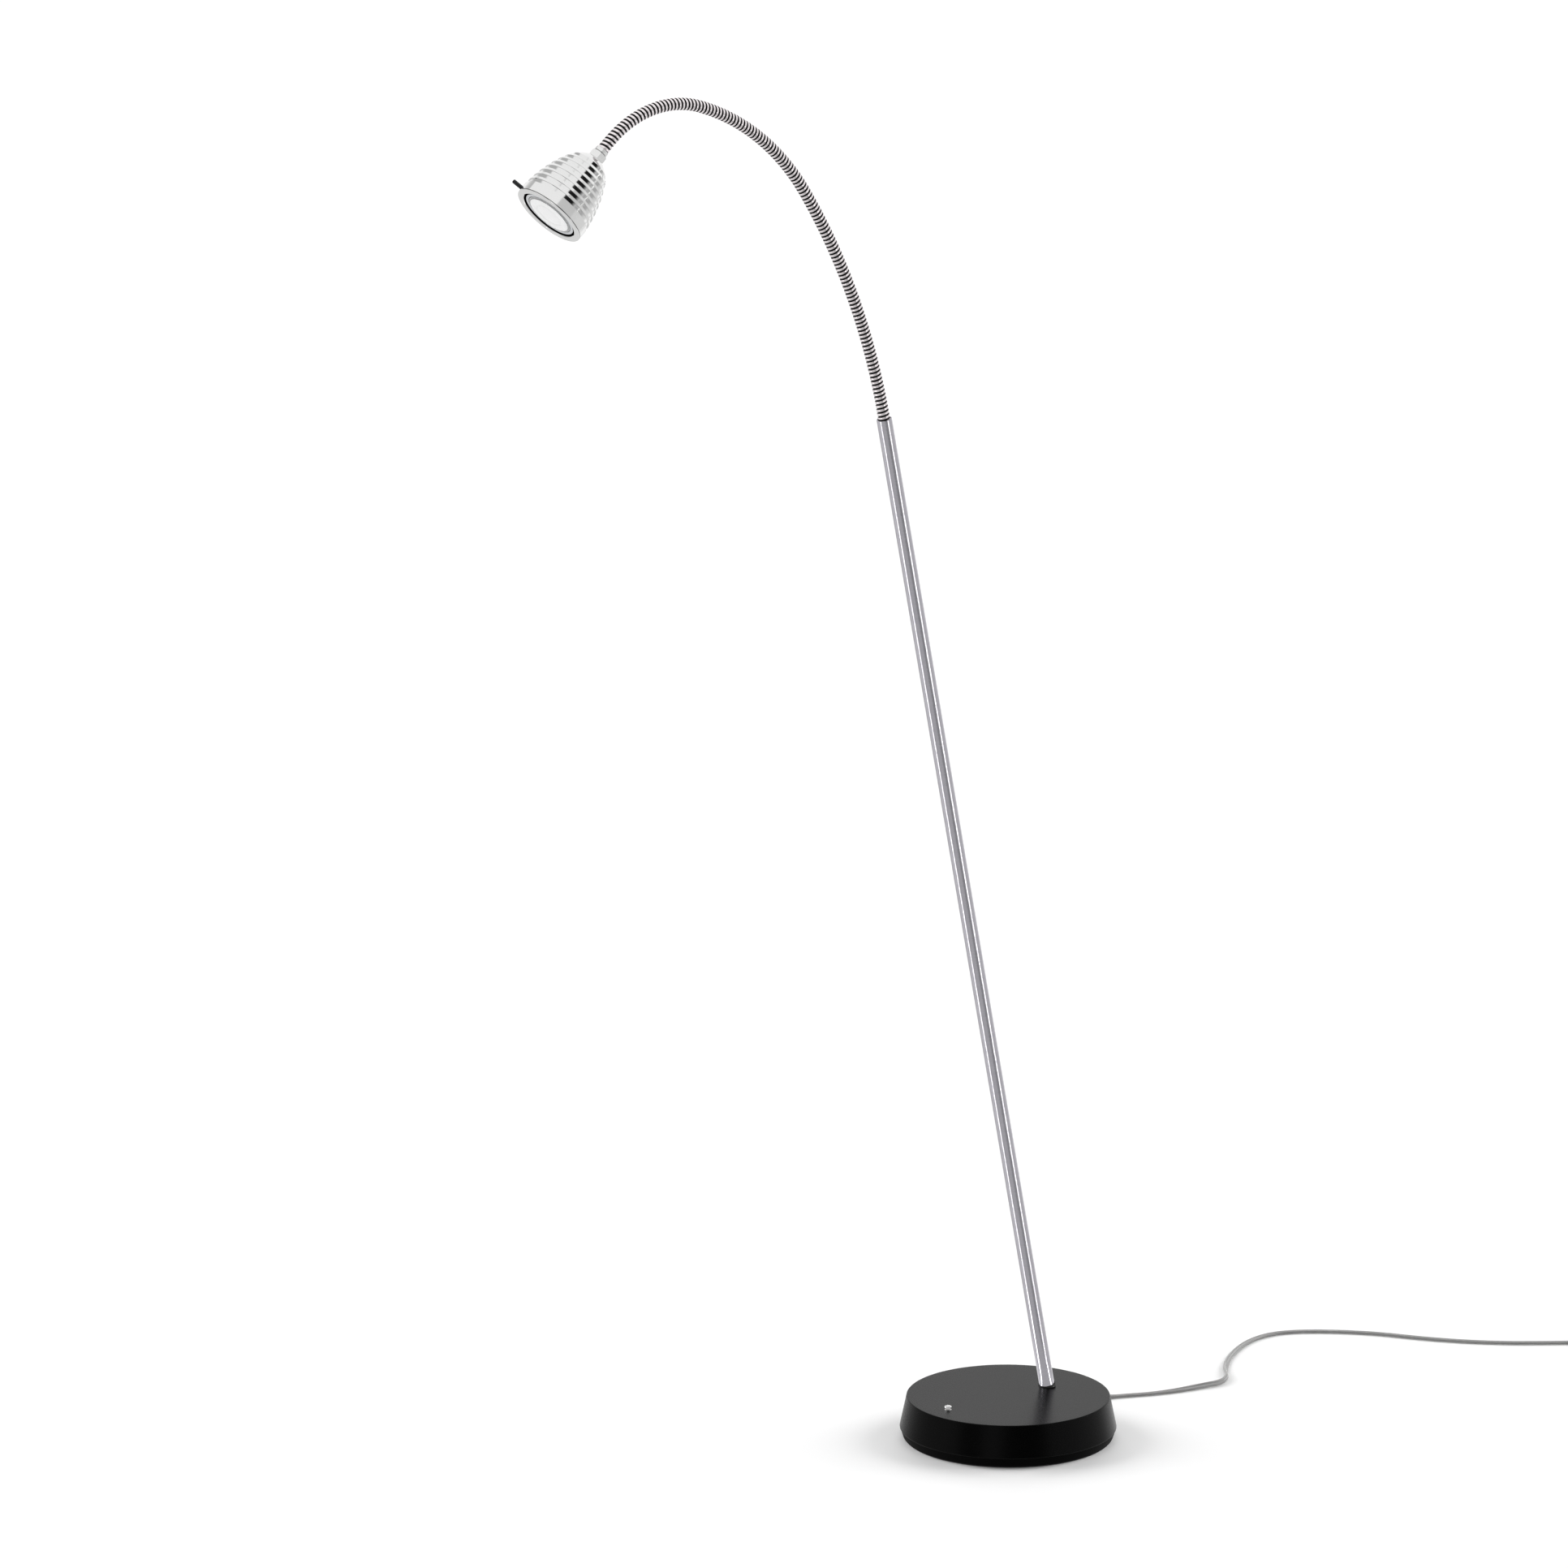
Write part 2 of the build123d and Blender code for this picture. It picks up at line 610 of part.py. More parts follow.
with BuildPart() as switch_bush:
    with BuildSketch(Plane.XY.offset(COVER_UNDERSIDE - BUSH_FLANGE)):
        with Locations((0, SWITCH_Y)):
            RegularPolygon(BUSH_FLANGE_RADIUS, 6)
    extrude(amount=BUSH_FLANGE)
    with BuildSketch(Plane.XY.offset(COVER_UNDERSIDE)):
        with Locations((0, SWITCH_Y)):
            Circle(BUSH_RADIUS)
    extrude(amount=COVER_TOP)
    with BuildSketch(Plane.XY.offset(BASE_HEIGHT)):
        with Locations((0, SWITCH_Y)):
            Circle(STEM_RADIUS + STEM_GAP)
    extrude(amount=-2 * (COVER_TOP + BUSH_FLANGE), mode=Mode.SUBTRACT)
keep("switch_bush", switch_bush)

SWITCH_TOP = COVER_UNDERSIDE - BUSH_FLANGE
with BuildPart() as switch_body:
    with BuildSketch(Plane.XY.offset(SWITCH_TOP)):
        with Locations((0, SWITCH_Y)):
            Rectangle(SWITCH_SIZE, SWITCH_SIZE)
    extrude(amount=-SWITCH_HEIGHT)
    fillet(switch_body.edges().filter_by(Axis.Z), 1.0)
    with BuildSketch(Plane.XY.offset(SWITCH_TOP)):
        with Locations((0, SWITCH_Y)):
            Circle(STEM_RADIUS + STEM_GAP)
    extrude(amount=-SWITCH_WALL, mode=Mode.SUBTRACT)
    with BuildSketch(Plane.XY.offset(SWITCH_TOP - SWITCH_WALL)):
        with Locations((0, SWITCH_Y)):
            Circle(SWITCH_SIZE / 2 - SWITCH_WALL)
    extrude(amount=-(SWITCH_HEIGHT - 2 * SWITCH_WALL), mode=Mode.SUBTRACT)
keep("switch_body", switch_body)

# the spring under the stem
with BuildPart() as switch_spring:
    with BuildLine() as spring_line:
        Helix(
            pitch=(SPRING_HEIGHT - SPRING_WIRE * 2) / SPRING_TURNS,
            height=SPRING_HEIGHT - SPRING_WIRE * 2,
            radius=SPRING_RADIUS,
            center=(0, SWITCH_Y, STEM_END - PLAY / 2 - SPRING_HEIGHT + SPRING_WIRE),
        )
    with BuildSketch(Plane(origin=spring_line.line @ 0, z_dir=spring_line.line % 0)):
        Circle(SPRING_WIRE)
    sweep()
keep("switch_spring", switch_spring)

# ---------------------------------------------------------------- pole
# black wedge between the flat base and the leaning tube's square end
with BuildPart() as pole_seat:
    with BuildSketch(pole_plane.offset(TUBE_RISE)):
        Circle(POLE_RADIUS + SEAT_MARGIN)
    extrude(amount=-2 * (TUBE_RISE + SEAT_LIP))
    split(bisect_by=Plane.XY.offset(BASE_HEIGHT), keep=Keep.TOP)
    with BuildSketch(pole_plane.offset(TUBE_RISE)):
        Circle(STUD_RADIUS + PLAY)
    extrude(amount=-2 * (TUBE_RISE + SEAT_LIP), mode=Mode.SUBTRACT)
keep("pole_seat", pole_seat)

STUD_BOTTOM = -(NUT_DEPTH + WASHER_THICKNESS + FOOT_NUT_THICKNESS + STUD_TAIL)
with BuildPart() as pole_stud:
    with BuildSketch(pole_plane.offset(STUD_BOTTOM)):
        Circle(STUD_RADIUS)
        Circle(STUD_BORE, mode=Mode.SUBTRACT)
    extrude(amount=TUBE_RISE + STUD_UP - STUD_BOTTOM)
    chamfer(pole_stud.edges().filter_by(GeomType.CIRCLE).group_by(SortBy.RADIUS)[-1], 0.6)
keep("pole_stud", pole_stud)

with BuildPart() as pole_washer:
    with BuildSketch(pole_plane.offset(-NUT_DEPTH)):
        Circle(WASHER_RADIUS)
        Circle(STUD_RADIUS + PLAY, mode=Mode.SUBTRACT)
    extrude(amount=-WASHER_THICKNESS)
keep("pole_washer", pole_washer)

with BuildPart() as pole_nut:
    with BuildSketch(pole_plane.offset(-NUT_DEPTH - WASHER_THICKNESS)):
        RegularPolygon(FOOT_NUT_FLATS / 2, 6, major_radius=False)
        Circle(STUD_RADIUS + THREAD_GAP, mode=Mode.SUBTRACT)
    extrude(amount=-FOOT_NUT_THICKNESS)
keep("pole_nut", pole_nut)

# threaded insert brazed into the tube's lower end
with BuildPart() as pole_insert:
    with BuildSketch(pole_plane.offset(TUBE_RISE)):
        Circle(TUBE_BORE - THREAD_GAP)
        Circle(STUD_RADIUS + THREAD_GAP, mode=Mode.SUBTRACT)
    extrude(amount=INSERT_LENGTH)
keep("pole_insert", pole_insert)

with BuildPart() as pole_tube:
    with BuildSketch(pole_plane.offset(TUBE_RISE)):
        Circle(POLE_RADIUS)
        Circle(TUBE_BORE, mode=Mode.SUBTRACT)
    extrude(amount=POLE_LENGTH)
    fillet(pole_tube.edges().filter_by(GeomType.CIRCLE).group_by(SortBy.RADIUS)[-1], POLE_WALL / 4)
keep("pole_tube", pole_tube)

# bush that holds the neck's root inside the tube's mouth
with BuildPart() as neck_bush:
    with BuildSketch(pole_plane.offset(TUBE_RISE + POLE_LENGTH - BUSH_DEPTH)):
        Circle(TUBE_BORE - THREAD_GAP)
        Circle(NECK_RADIUS + THREAD_GAP, mode=Mode.SUBTRACT)
    extrude(amount=-BUSH_LENGTH)
keep("neck_bush", neck_bush)

# the lamp's cable up the pole
with BuildPart() as pole_cable:
    with BuildSketch(pole_plane.offset(STUD_BOTTOM)):
        Circle(CABLE_RADIUS)
    extrude(amount=TUBE_RISE + POLE_LENGTH - NECK_IN_TUBE - STUD_BOTTOM - CABLE_GAP)
keep("pole_cable", pole_cable)

# ---------------------------------------------------------------- gooseneck


def neck_segment(name, start, end, ball, socket):
    """One stretch of the neck between two pivots: ribs, a bore, a ball first and a socket last."""
    low = start + PIVOT_GAP if ball else start
    high = end - PIVOT_GAP if socket else end
    count = round((high - low) / RIB_PITCH)
    pitch = (high - low) / count
    groove = NECK_RADIUS - RIB_DEPTH
    flat = (RIB_GROOVE - RIB_SLOPE) / 2
    with BuildPart() as segment:
        for i in range(count):
            foot = low + i * pitch
            rib = (
                (foot, groove),
                (foot + RIB_SLOPE, NECK_RADIUS),
                (foot + pitch - RIB_SLOPE - 2 * flat, NECK_RADIUS),
                (foot + pitch - 2 * flat, groove),
            )
            for s, radius in rib:
                with BuildSketch(neck_plane(s)):
                    Circle(radius)
        with BuildSketch(neck_plane(high)):
            Circle(groove)
        loft(ruled=True)
        if ball:
            with Locations(neck_point(start)):
                Sphere(BALL_RADIUS)
        if socket:
            with Locations(neck_point(end)):
                Sphere(BALL_RADIUS + BALL_GAP, mode=Mode.SUBTRACT)
        bore_start = start - BALL_RADIUS - PLAY if ball else start
        with BuildLine() as bore_line:
            draw_neck(bore_start, high)
        with BuildSketch(neck_plane(bore_start)):
            Circle(NECK_BORE)
        sweep(path=bore_line.line, mode=Mode.SUBTRACT)
    keep(name, segment)
    return count


ribs = 0
edges = [-NECK_IN_TUBE] + PIVOTS + [NECK_LENGTH]
for i in range(len(edges) - 1):
    ribs += neck_segment(f"neck_{i}", edges[i], edges[i + 1], i > 0, i < len(edges) - 2)
print("neck ribs", ribs, "pivots", [round(place, 1) for place in PIVOTS])

# the cable inside the neck
with BuildPart() as neck_cable:
    with BuildLine() as cable_line:
        draw_neck(-NECK_IN_TUBE, NECK_LENGTH + SPINDLE_END - CABLE_GAP)
    with BuildSketch(neck_plane(-NECK_IN_TUBE)):
        Circle(CABLE_RADIUS)
    sweep(path=cable_line.line)
keep("neck_cable", neck_cable)

# ---------------------------------------------------------------- swivel between neck and head
# hollow spindle: its ferrule is crimped on the neck, its thread carries the retaining nut
with BuildPart() as swivel_spindle:
    with BuildSketch(head_plane):
        Circle(FERRULE_RADIUS)
    extrude(amount=FERRULE_LENGTH)
    with BuildSketch(head_plane.offset(FERRULE_LENGTH)):
        Circle(SPINDLE_RADIUS)
    extrude(amount=SPINDLE_END - FERRULE_LENGTH)
    rounding = swivel_spindle.edges().filter_by(GeomType.CIRCLE).group_by(SortBy.RADIUS)[-1]
    fillet(rounding, RUN_GAP)
    with BuildSketch(head_plane):
        Circle(NECK_BORE)
    extrude(amount=SPINDLE_END, mode=Mode.SUBTRACT)
keep("swivel_spindle", swivel_spindle)

with BuildPart() as swivel_washer:
    with BuildSketch(head_plane.offset(CAVITY_START + RUN_GAP)):
        Circle(FRICTION_RADIUS)
        Circle(SPINDLE_RADIUS + THREAD_GAP, mode=Mode.SUBTRACT)
    extrude(amount=FRICTION_THICKNESS)
keep("swivel_washer", swivel_washer)

with BuildPart() as swivel_retainer:
    with BuildSketch(head_plane.offset(CAVITY_START + RUN_GAP + FRICTION_THICKNESS)):
        RegularPolygon(RETAINER_RADIUS, 6)
        Circle(SPINDLE_RADIUS + THREAD_GAP, mode=Mode.SUBTRACT)
    extrude(amount=RETAINER_THICKNESS)
keep("swivel_retainer", swivel_retainer)

# hexagon nut on the rear of the head, chamfered towards the neck
with BuildPart() as swivel_nut:
    with BuildSketch(head_plane.offset(FERRULE_LENGTH + RUN_GAP)):
        RegularPolygon(HEAD_NUT_FLATS / 2, 6, major_radius=False)
    extrude(amount=HEAD_NUT_END - FERRULE_LENGTH - RUN_GAP)
    with BuildSketch(head_profile):
        corner = HEAD_NUT_FLATS / 2 / cos(radians(30))
        nut_low = FERRULE_LENGTH + RUN_GAP
        with BuildLine():
            Polyline(
                (0, nut_low),
                (corner - 2 * NUT_CHAMFER, nut_low),
                (corner, nut_low + NUT_CHAMFER),
                (corner, HEAD_NUT_END),
                (0, HEAD_NUT_END),
                close=True,
            )
        make_face()
    revolve(axis=head_axis, mode=Mode.INTERSECT)
    with BuildSketch(head_plane):
        Circle(SPINDLE_RADIUS + SPINDLE_GAP)
    extrude(amount=HEAD_NUT_END, mode=Mode.SUBTRACT)
keep("swivel_nut", swivel_nut)

# ---------------------------------------------------------------- head
RING_SEAT = HEAD_LENGTH - RING_FLANGE
with BuildPart() as head_housing:
    with BuildSketch(head_profile):
        with BuildLine():
            Polyline(
                bell_point(0, BELL_SLOPES[0], 0),
                (BAND_RADIUS, BELL_START),
                (BAND_RADIUS, RING_SEAT),
                (0, RING_SEAT),
                (0, REAR_FACE),
                (REAR_FACE_RADIUS, REAR_FACE),
                bell_point(1, BELL_SLOPES[2], 0),
            )
            draw_bell(0)
        make_face()
    revolve(axis=head_axis)
    # the hollow inside
    with BuildSketch(head_profile):
        with BuildLine():
            inner_front = bell_point(0, BELL_SLOPES[0], BELL_WALL)
            inner_rear = bell_point(1, BELL_SLOPES[2], BELL_WALL)
            Polyline(
                inner_front,
                (RING_SPIGOT_RADIUS + THREAD_GAP, BELL_START),
                (RING_SPIGOT_RADIUS + THREAD_GAP, HEAD_LENGTH),
                (0, HEAD_LENGTH),
                (0, inner_rear[1]),
                inner_rear,
            )
            draw_bell(BELL_WALL)
        make_face()
        with Locations((0, CAVITY_START)):
            Rectangle(FRICTION_RADIUS + PLAY, inner_rear[1] - CAVITY_START, align=(Align.MIN, Align.MIN))
    revolve(axis=head_axis, mode=Mode.SUBTRACT)
    # cooling grooves
    with BuildSketch(head_profile):
        for i in range(FIN_GROOVES):
            place = BELL_START - i * FIN_PITCH
            with Locations((bell_radius(place) - FIN_GROOVE_DEPTH, place)):
                Rectangle(BAND_RADIUS, FIN_GROOVE_WIDTH, align=(Align.MIN, Align.CENTER))
    revolve(axis=head_axis, mode=Mode.SUBTRACT)
    # bore for the spindle, tapped holes for the rod and for the bracket's grub screw
    with BuildSketch(head_plane):
        Circle(SPINDLE_RADIUS + SPINDLE_GAP)
    extrude(amount=CAVITY_START + PLAY, mode=Mode.SUBTRACT)
    rod_foot = HEAD_ORIGIN + HEAD_AXIS * (HEAD_LENGTH - ROD_SETBACK) + head_direction(ROD_ANGLE) * BAND_RADIUS
    with BuildSketch(Plane(origin=rod_foot, z_dir=head_direction(ROD_ANGLE))):
        Circle(ROD_SHANK_RADIUS + THREAD_GAP)
    extrude(amount=-ROD_SHANK_DEPTH - PLAY, mode=Mode.SUBTRACT)
    grub_centre = HEAD_ORIGIN + HEAD_AXIS * GRUB_POSITION
    with BuildSketch(Plane(origin=grub_centre, z_dir=head_direction(GRUB_ANGLE))):
        Circle(GRUB_RADIUS + THREAD_GAP)
    extrude(amount=BAND_RADIUS, mode=Mode.SUBTRACT)
keep("head_housing", head_housing)

# ring screwed into the front, which keeps the lamp in
with BuildPart() as front_ring:
    with BuildSketch(head_profile):
        with BuildLine():
            Polyline(
                (RING_RADIUS, HEAD_LENGTH - RING_DEPTH),
                (RING_SPIGOT_RADIUS, HEAD_LENGTH - RING_DEPTH),
                (RING_SPIGOT_RADIUS, RING_SEAT),
                (BAND_RADIUS, RING_SEAT),
                (BAND_RADIUS, HEAD_LENGTH - RING_BEVEL),
                (BAND_RADIUS - RING_BEVEL, HEAD_LENGTH),
                (RING_RADIUS + RING_BEVEL, HEAD_LENGTH),
                (RING_RADIUS, HEAD_LENGTH - RING_BEVEL),
                close=True,
            )
        make_face()
    revolve(axis=head_axis)
keep("front_ring", front_ring)

# rod to turn and aim the head by
with BuildPart() as handle_rod:
    with BuildSketch(Plane(origin=rod_foot, z_dir=head_direction(ROD_ANGLE))):
        Circle(ROD_RADIUS)
    extrude(amount=ROD_REACH)
    tip = handle_rod.edges().filter_by(GeomType.CIRCLE).sort_by(Axis(rod_foot, head_direction(ROD_ANGLE)))[-1]
    fillet(tip, ROD_RADIUS * 0.8)
    with BuildSketch(Plane(origin=rod_foot, z_dir=head_direction(ROD_ANGLE))):
        Circle(ROD_SHANK_RADIUS)
    extrude(amount=-ROD_SHANK_DEPTH)
keep("handle_rod", handle_rod)

with BuildPart() as lamp_bracket:
    with BuildSketch(head_plane.offset(BRACKET_POSITION)):
        Circle(bell_radius(BRACKET_POSITION) - BELL_WALL - 3 * PLAY)
        Circle(NECK_BORE + PLAY, mode=Mode.SUBTRACT)
        with PolarLocations(bell_radius(BRACKET_POSITION) - BELL_WALL, 2, start_angle=GRUB_ANGLE + 90):
            Circle(BRACKET_WIDTH / 2, mode=Mode.SUBTRACT)
    extrude(amount=BRACKET_THICKNESS)
keep("lamp_bracket", lamp_bracket)

GRUB_REACH = bell_radius(GRUB_POSITION) - BELL_WALL - 2 * PLAY
grub_foot = grub_centre + head_direction(GRUB_ANGLE) * GRUB_REACH
with BuildPart() as bracket_grub:
    with BuildSketch(Plane(origin=grub_foot, z_dir=head_direction(GRUB_ANGLE))):
        Circle(GRUB_RADIUS)
    extrude(amount=GRUB_LENGTH)
keep("bracket_grub", bracket_grub)

# ceramic holder for the lamp's two pins
with BuildPart() as lamp_holder:
    with BuildSketch(head_plane.offset(HOLDER_REAR)):
        Circle(HOLDER_RADIUS)
        Circle(NECK_BORE, mode=Mode.SUBTRACT)
    extrude(amount=PIN_TIPS - PLAY - HOLDER_REAR)
    with BuildSketch(head_plane.offset(PIN_TIPS - PLAY)):
        Circle(HOLDER_RADIUS)
        with Locations((-PIN_SPACING / 2, 0), (PIN_SPACING / 2, 0)):
            Circle(PIN_RADIUS + THREAD_GAP, mode=Mode.SUBTRACT)
    extrude(amount=HOLDER_FRONT - PIN_TIPS + PLAY)
keep("lamp_holder", lamp_holder)

# the lead inside the head, from the spindle to the holder
with BuildPart() as head_lead:
    with BuildSketch(head_plane.offset(SPINDLE_END + RUN_GAP)):
        Circle(CABLE_RADIUS)
    extrude(amount=PIN_TIPS - PLAY - SPINDLE_END - RUN_GAP)
keep("head_lead", head_lead)

# ---------------------------------------------------------------- reflector lamp


def lamp_line(radius, inner_radius, low, high, inset):
    """Draws the reflector's curved side from its rim to its neck, inset mm inside the outside."""
    span = high - low
    middle = (radius + inner_radius) / 2 + (radius - inner_radius) * 0.14
    ThreePointArc((radius - inset, high), (middle - inset, low + span / 2), (inner_radius - inset, low))


REFLECTOR_REAR = LAMP_REAR + LAMP_BASE_LENGTH
RIM_REAR = LAMP_FACE - LAMP_RIM
with BuildPart() as lamp_reflector:
    with BuildSketch(head_profile):
        with BuildLine():
            side = LAMP_RADIUS - LAMP_RIM / 2
            Polyline(
                (side, RIM_REAR),
                (LAMP_RADIUS, RIM_REAR),
                (LAMP_RADIUS, LAMP_FACE),
                (0, LAMP_FACE),
                (0, REFLECTOR_REAR),
                (LAMP_NECK_RADIUS, REFLECTOR_REAR),
            )
            lamp_line(side, LAMP_NECK_RADIUS, REFLECTOR_REAR, RIM_REAR, 0)
        make_face()
    revolve(axis=head_axis)
    with BuildSketch(head_profile):
        with BuildLine():
            Polyline(
                (side - LAMP_GLASS, RIM_REAR),
                (side - LAMP_GLASS, LAMP_FACE),
                (0, LAMP_FACE),
                (0, REFLECTOR_REAR + LAMP_GLASS),
                (LAMP_NECK_RADIUS - LAMP_GLASS, REFLECTOR_REAR + LAMP_GLASS),
            )
            lamp_line(side, LAMP_NECK_RADIUS, REFLECTOR_REAR + LAMP_GLASS, RIM_REAR, LAMP_GLASS)
        make_face()
    revolve(axis=head_axis, mode=Mode.SUBTRACT)
keep("lamp_reflector", lamp_reflector)

LENS_RADIUS = side - LAMP_GLASS - PLAY
with BuildPart() as lamp_lens:
    with BuildSketch(head_plane.offset(LAMP_FACE - LENS_THICKNESS)):
        Circle(LENS_RADIUS)
    extrude(amount=LENS_THICKNESS)
    with BuildSketch(head_plane.offset(LAMP_FACE)):
        Circle(LENS_STEP_RADIUS)
    extrude(amount=LENS_STEP)
    fillet(lamp_lens.faces().sort_by(head_axis)[-1].edges(), LENS_STEP * 0.8)
keep("lamp_lens", lamp_lens)

with BuildPart() as lamp_capsule:
    with BuildSketch(head_plane.offset(REFLECTOR_REAR + LAMP_GLASS)):
        Circle(CAPSULE_RADIUS)
    extrude(amount=CAPSULE_LENGTH)
    fillet(lamp_capsule.faces().sort_by(head_axis)[-1].edges(), CAPSULE_RADIUS * 0.9)
keep("lamp_capsule", lamp_capsule)

with BuildPart() as lamp_base:
    with BuildSketch(head_plane.offset(LAMP_REAR)):
        RectangleRounded(LAMP_BASE_WIDTH, LAMP_BASE_THICKNESS, LAMP_BASE_ROUNDING)
    extrude(amount=LAMP_BASE_LENGTH)
keep("lamp_base", lamp_base)

with BuildPart() as lamp_pins:
    with BuildSketch(head_plane.offset(PIN_TIPS)):
        with Locations((-PIN_SPACING / 2, 0), (PIN_SPACING / 2, 0)):
            Circle(PIN_RADIUS)
    extrude(amount=PIN_LENGTH)
keep("lamp_pins", lamp_pins)

# ---------------------------------------------------------------- cord and plug
boot_tip = gland_plane(GLAND_FACE + BOOT_LENGTH).origin
route = [boot_tip, boot_tip + GLAND_OUT * BOOT_RUN, Vector(*CORD_ROUTE[0], CORD_DROP_Z)]
route += [Vector(x, y, CORD_RADIUS) for x, y in CORD_ROUTE[1:]]
last_run = (route[-1] - route[-2]).normalized()
loops_start = route[-1]


def corner_radii(points):
    """A radius for each corner of a route: 0.45 of its shorter run over the tangent of half its turn."""
    radii = []
    for before, at, after in zip(points, points[1:], points[2:]):
        first, second = at - before, after - at
        half = radians(first.get_angle(second)) / 2
        radii.append(0.45 * min(first.length, second.length) / tan(half))
    return radii


def cord_tube(name, points):
    """A plain round tube along a route of straight runs and tangent arcs."""
    radii = corner_radii(points)
    print(name, "radii", [round(radius, 1) for radius in radii])
    with BuildPart() as tube:
        with BuildLine() as line:
            FilletPolyline(*points, radius=radii)
        with BuildSketch(Plane(origin=points[0], z_dir=points[1] - points[0])):
            Circle(CORD_RADIUS)
        sweep(path=line.line)
    keep(name, tube)
    length = line.wire().length
    section = pi * CORD_RADIUS**2
    filled = tube.part.volume / section / length
    print(name, "length", round(length, 1), "volume over section times length", round(filled, 4))
    return length


cord_length = cord_tube("cord_lead", route)


def half_turn(start, heading, end):
    """Draws two tangent arcs from start to end, where the heading is reversed."""
    reach = heading * ((end - start).length / 2)
    middle = (start + reach + end + reach) * 0.5
    TangentArc(start, middle, tangent=heading)
    TangentArc(middle, end, tangent=end - start)


# the put-away length: a flat spiral in on the floor, one half turn up, and a spiral out on top
across = Vector(last_run.Y, -last_run.X, 0)
first_turn = loops_start + last_run * 2 * CORD_RADIUS
loop_ends = [first_turn]
position = 0.0
radius = LOOP_RADIUS
height = CORD_RADIUS
way = 1
for i in range(INWARD_HALVES + 1 + OUTWARD_HALVES):
    if i == INWARD_HALVES:
        height += LAYER_PITCH
    position += 2 * radius * way
    loop_ends.append(Vector(first_turn.X, first_turn.Y, height) + across * position)
    radius += -LOOP_PITCH / 2 if i < INWARD_HALVES else LOOP_PITCH / 2
    way = -way
with BuildPart() as cord_coil:
    with BuildLine() as coil_line:
        Line(loops_start, first_turn)
        heading = last_run
        for start, end in zip(loop_ends, loop_ends[1:]):
            half_turn(start, heading, end)
            heading = heading * -1
        coil_end = loop_ends[-1] + last_run * 2 * CORD_RADIUS
        Line(loop_ends[-1], coil_end)
    with BuildSketch(Plane(origin=loops_start, z_dir=last_run)):
        Circle(CORD_RADIUS)
    sweep(path=coil_line.line)
keep("cord_coil", cord_coil)
coil_wire = coil_line.wire()
cord_length += coil_wire.length

# the least gap between one turn and another, measured on points along the tube
count = 900
coil_points = [coil_wire @ (i / count) for i in range(count + 1)]
apart = int(count * 25 / coil_wire.length)
least = min(
    (coil_points[i] - coil_points[j]).length
    for i in range(0, count, 3)
    for j in range(i + apart, count)
)
print("loops length", round(coil_wire.length, 1), "least gap", round(least - 2 * CORD_RADIUS, 2))

# the tail, from the loops to the plug beside them
loops_centre = first_turn + across * LOOP_RADIUS
tail_radius = LOOP_RADIUS + TAIL_GAP
tail = [coil_end, coil_end + last_run * TAIL_RUN]
for angle, z in zip(TAIL_ANGLES, (height - TAIL_DROP, PLUG_THICKNESS / 2, PLUG_THICKNESS / 2)):
    around = across * -cos(radians(angle)) + last_run * sin(radians(angle))
    tail.append(Vector(loops_centre.X, loops_centre.Y, z) + around * tail_radius)
cord_length += cord_tube("cord_tail", tail)
print("cord length", round(cord_length, 1))

# two-pin plug, lying flat
plug_way = Vector(tail[-1].X - tail[-2].X, tail[-1].Y - tail[-2].Y, 0).normalized()
plug_rear = Plane(origin=tail[-1], x_dir=(plug_way.Y, -plug_way.X, 0), z_dir=(0, 0, 1))
with BuildPart() as plug_body:
    with BuildSketch(plug_rear.offset(-PLUG_THICKNESS / 2)):
        with BuildLine():
            Polyline(
                (-PLUG_REAR_WIDTH / 2, 0),
                (PLUG_REAR_WIDTH / 2, 0),
                (PLUG_WIDTH / 2, PLUG_LENGTH - PLUG_NOSE),
                (PLUG_WIDTH / 2, PLUG_LENGTH),
                (-PLUG_WIDTH / 2, PLUG_LENGTH),
                (-PLUG_WIDTH / 2, PLUG_LENGTH - PLUG_NOSE),
                close=True,
            )
        make_face()
    extrude(amount=PLUG_THICKNESS)
    fillet(plug_body.edges().filter_by(Axis.Z), PLUG_ROUNDING)
keep("plug_body", plug_body)

plug_face = tail[-1] + plug_way * PLUG_LENGTH
with BuildPart() as plug_pins:
    with BuildSketch(Plane(origin=plug_face, x_dir=(plug_way.Y, -plug_way.X, 0), z_dir=plug_way)):
        with Locations((-PLUG_PIN_SPACING / 2, 0), (PLUG_PIN_SPACING / 2, 0)):
            Circle(PLUG_PIN_RADIUS)
    extrude(amount=PLUG_PIN_LENGTH)
    tips = plug_pins.edges().filter_by(GeomType.CIRCLE).group_by(Axis(plug_face, plug_way))[-1]
    fillet(tips, PLUG_PIN_ROUNDING)
keep("plug_pins", plug_pins)

print("sub-parts", len(parts))
for place in PIVOTS:
    point, heading = neck_frame(place)
    kind = "bend" if place in BENDS else "side"
    print(kind, round(place, 1), [round(v, 3) for v in point], "heading", round(degrees(heading), 2))
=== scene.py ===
# %% [markdown]
# # A gooseneck reading lamp
# The lamp is a heavy black puck of a base, a leaning steel tube, a wound steel gooseneck and a small
# finned aluminium head for a two-inch reflector lamp. The engineering model is loaded first. It is the
# fixed frame: every visible piece is laid over its own solid and rides on the same moving body.

# %% Load the frame
import math

import bpy
from mathutils import Matrix, Vector


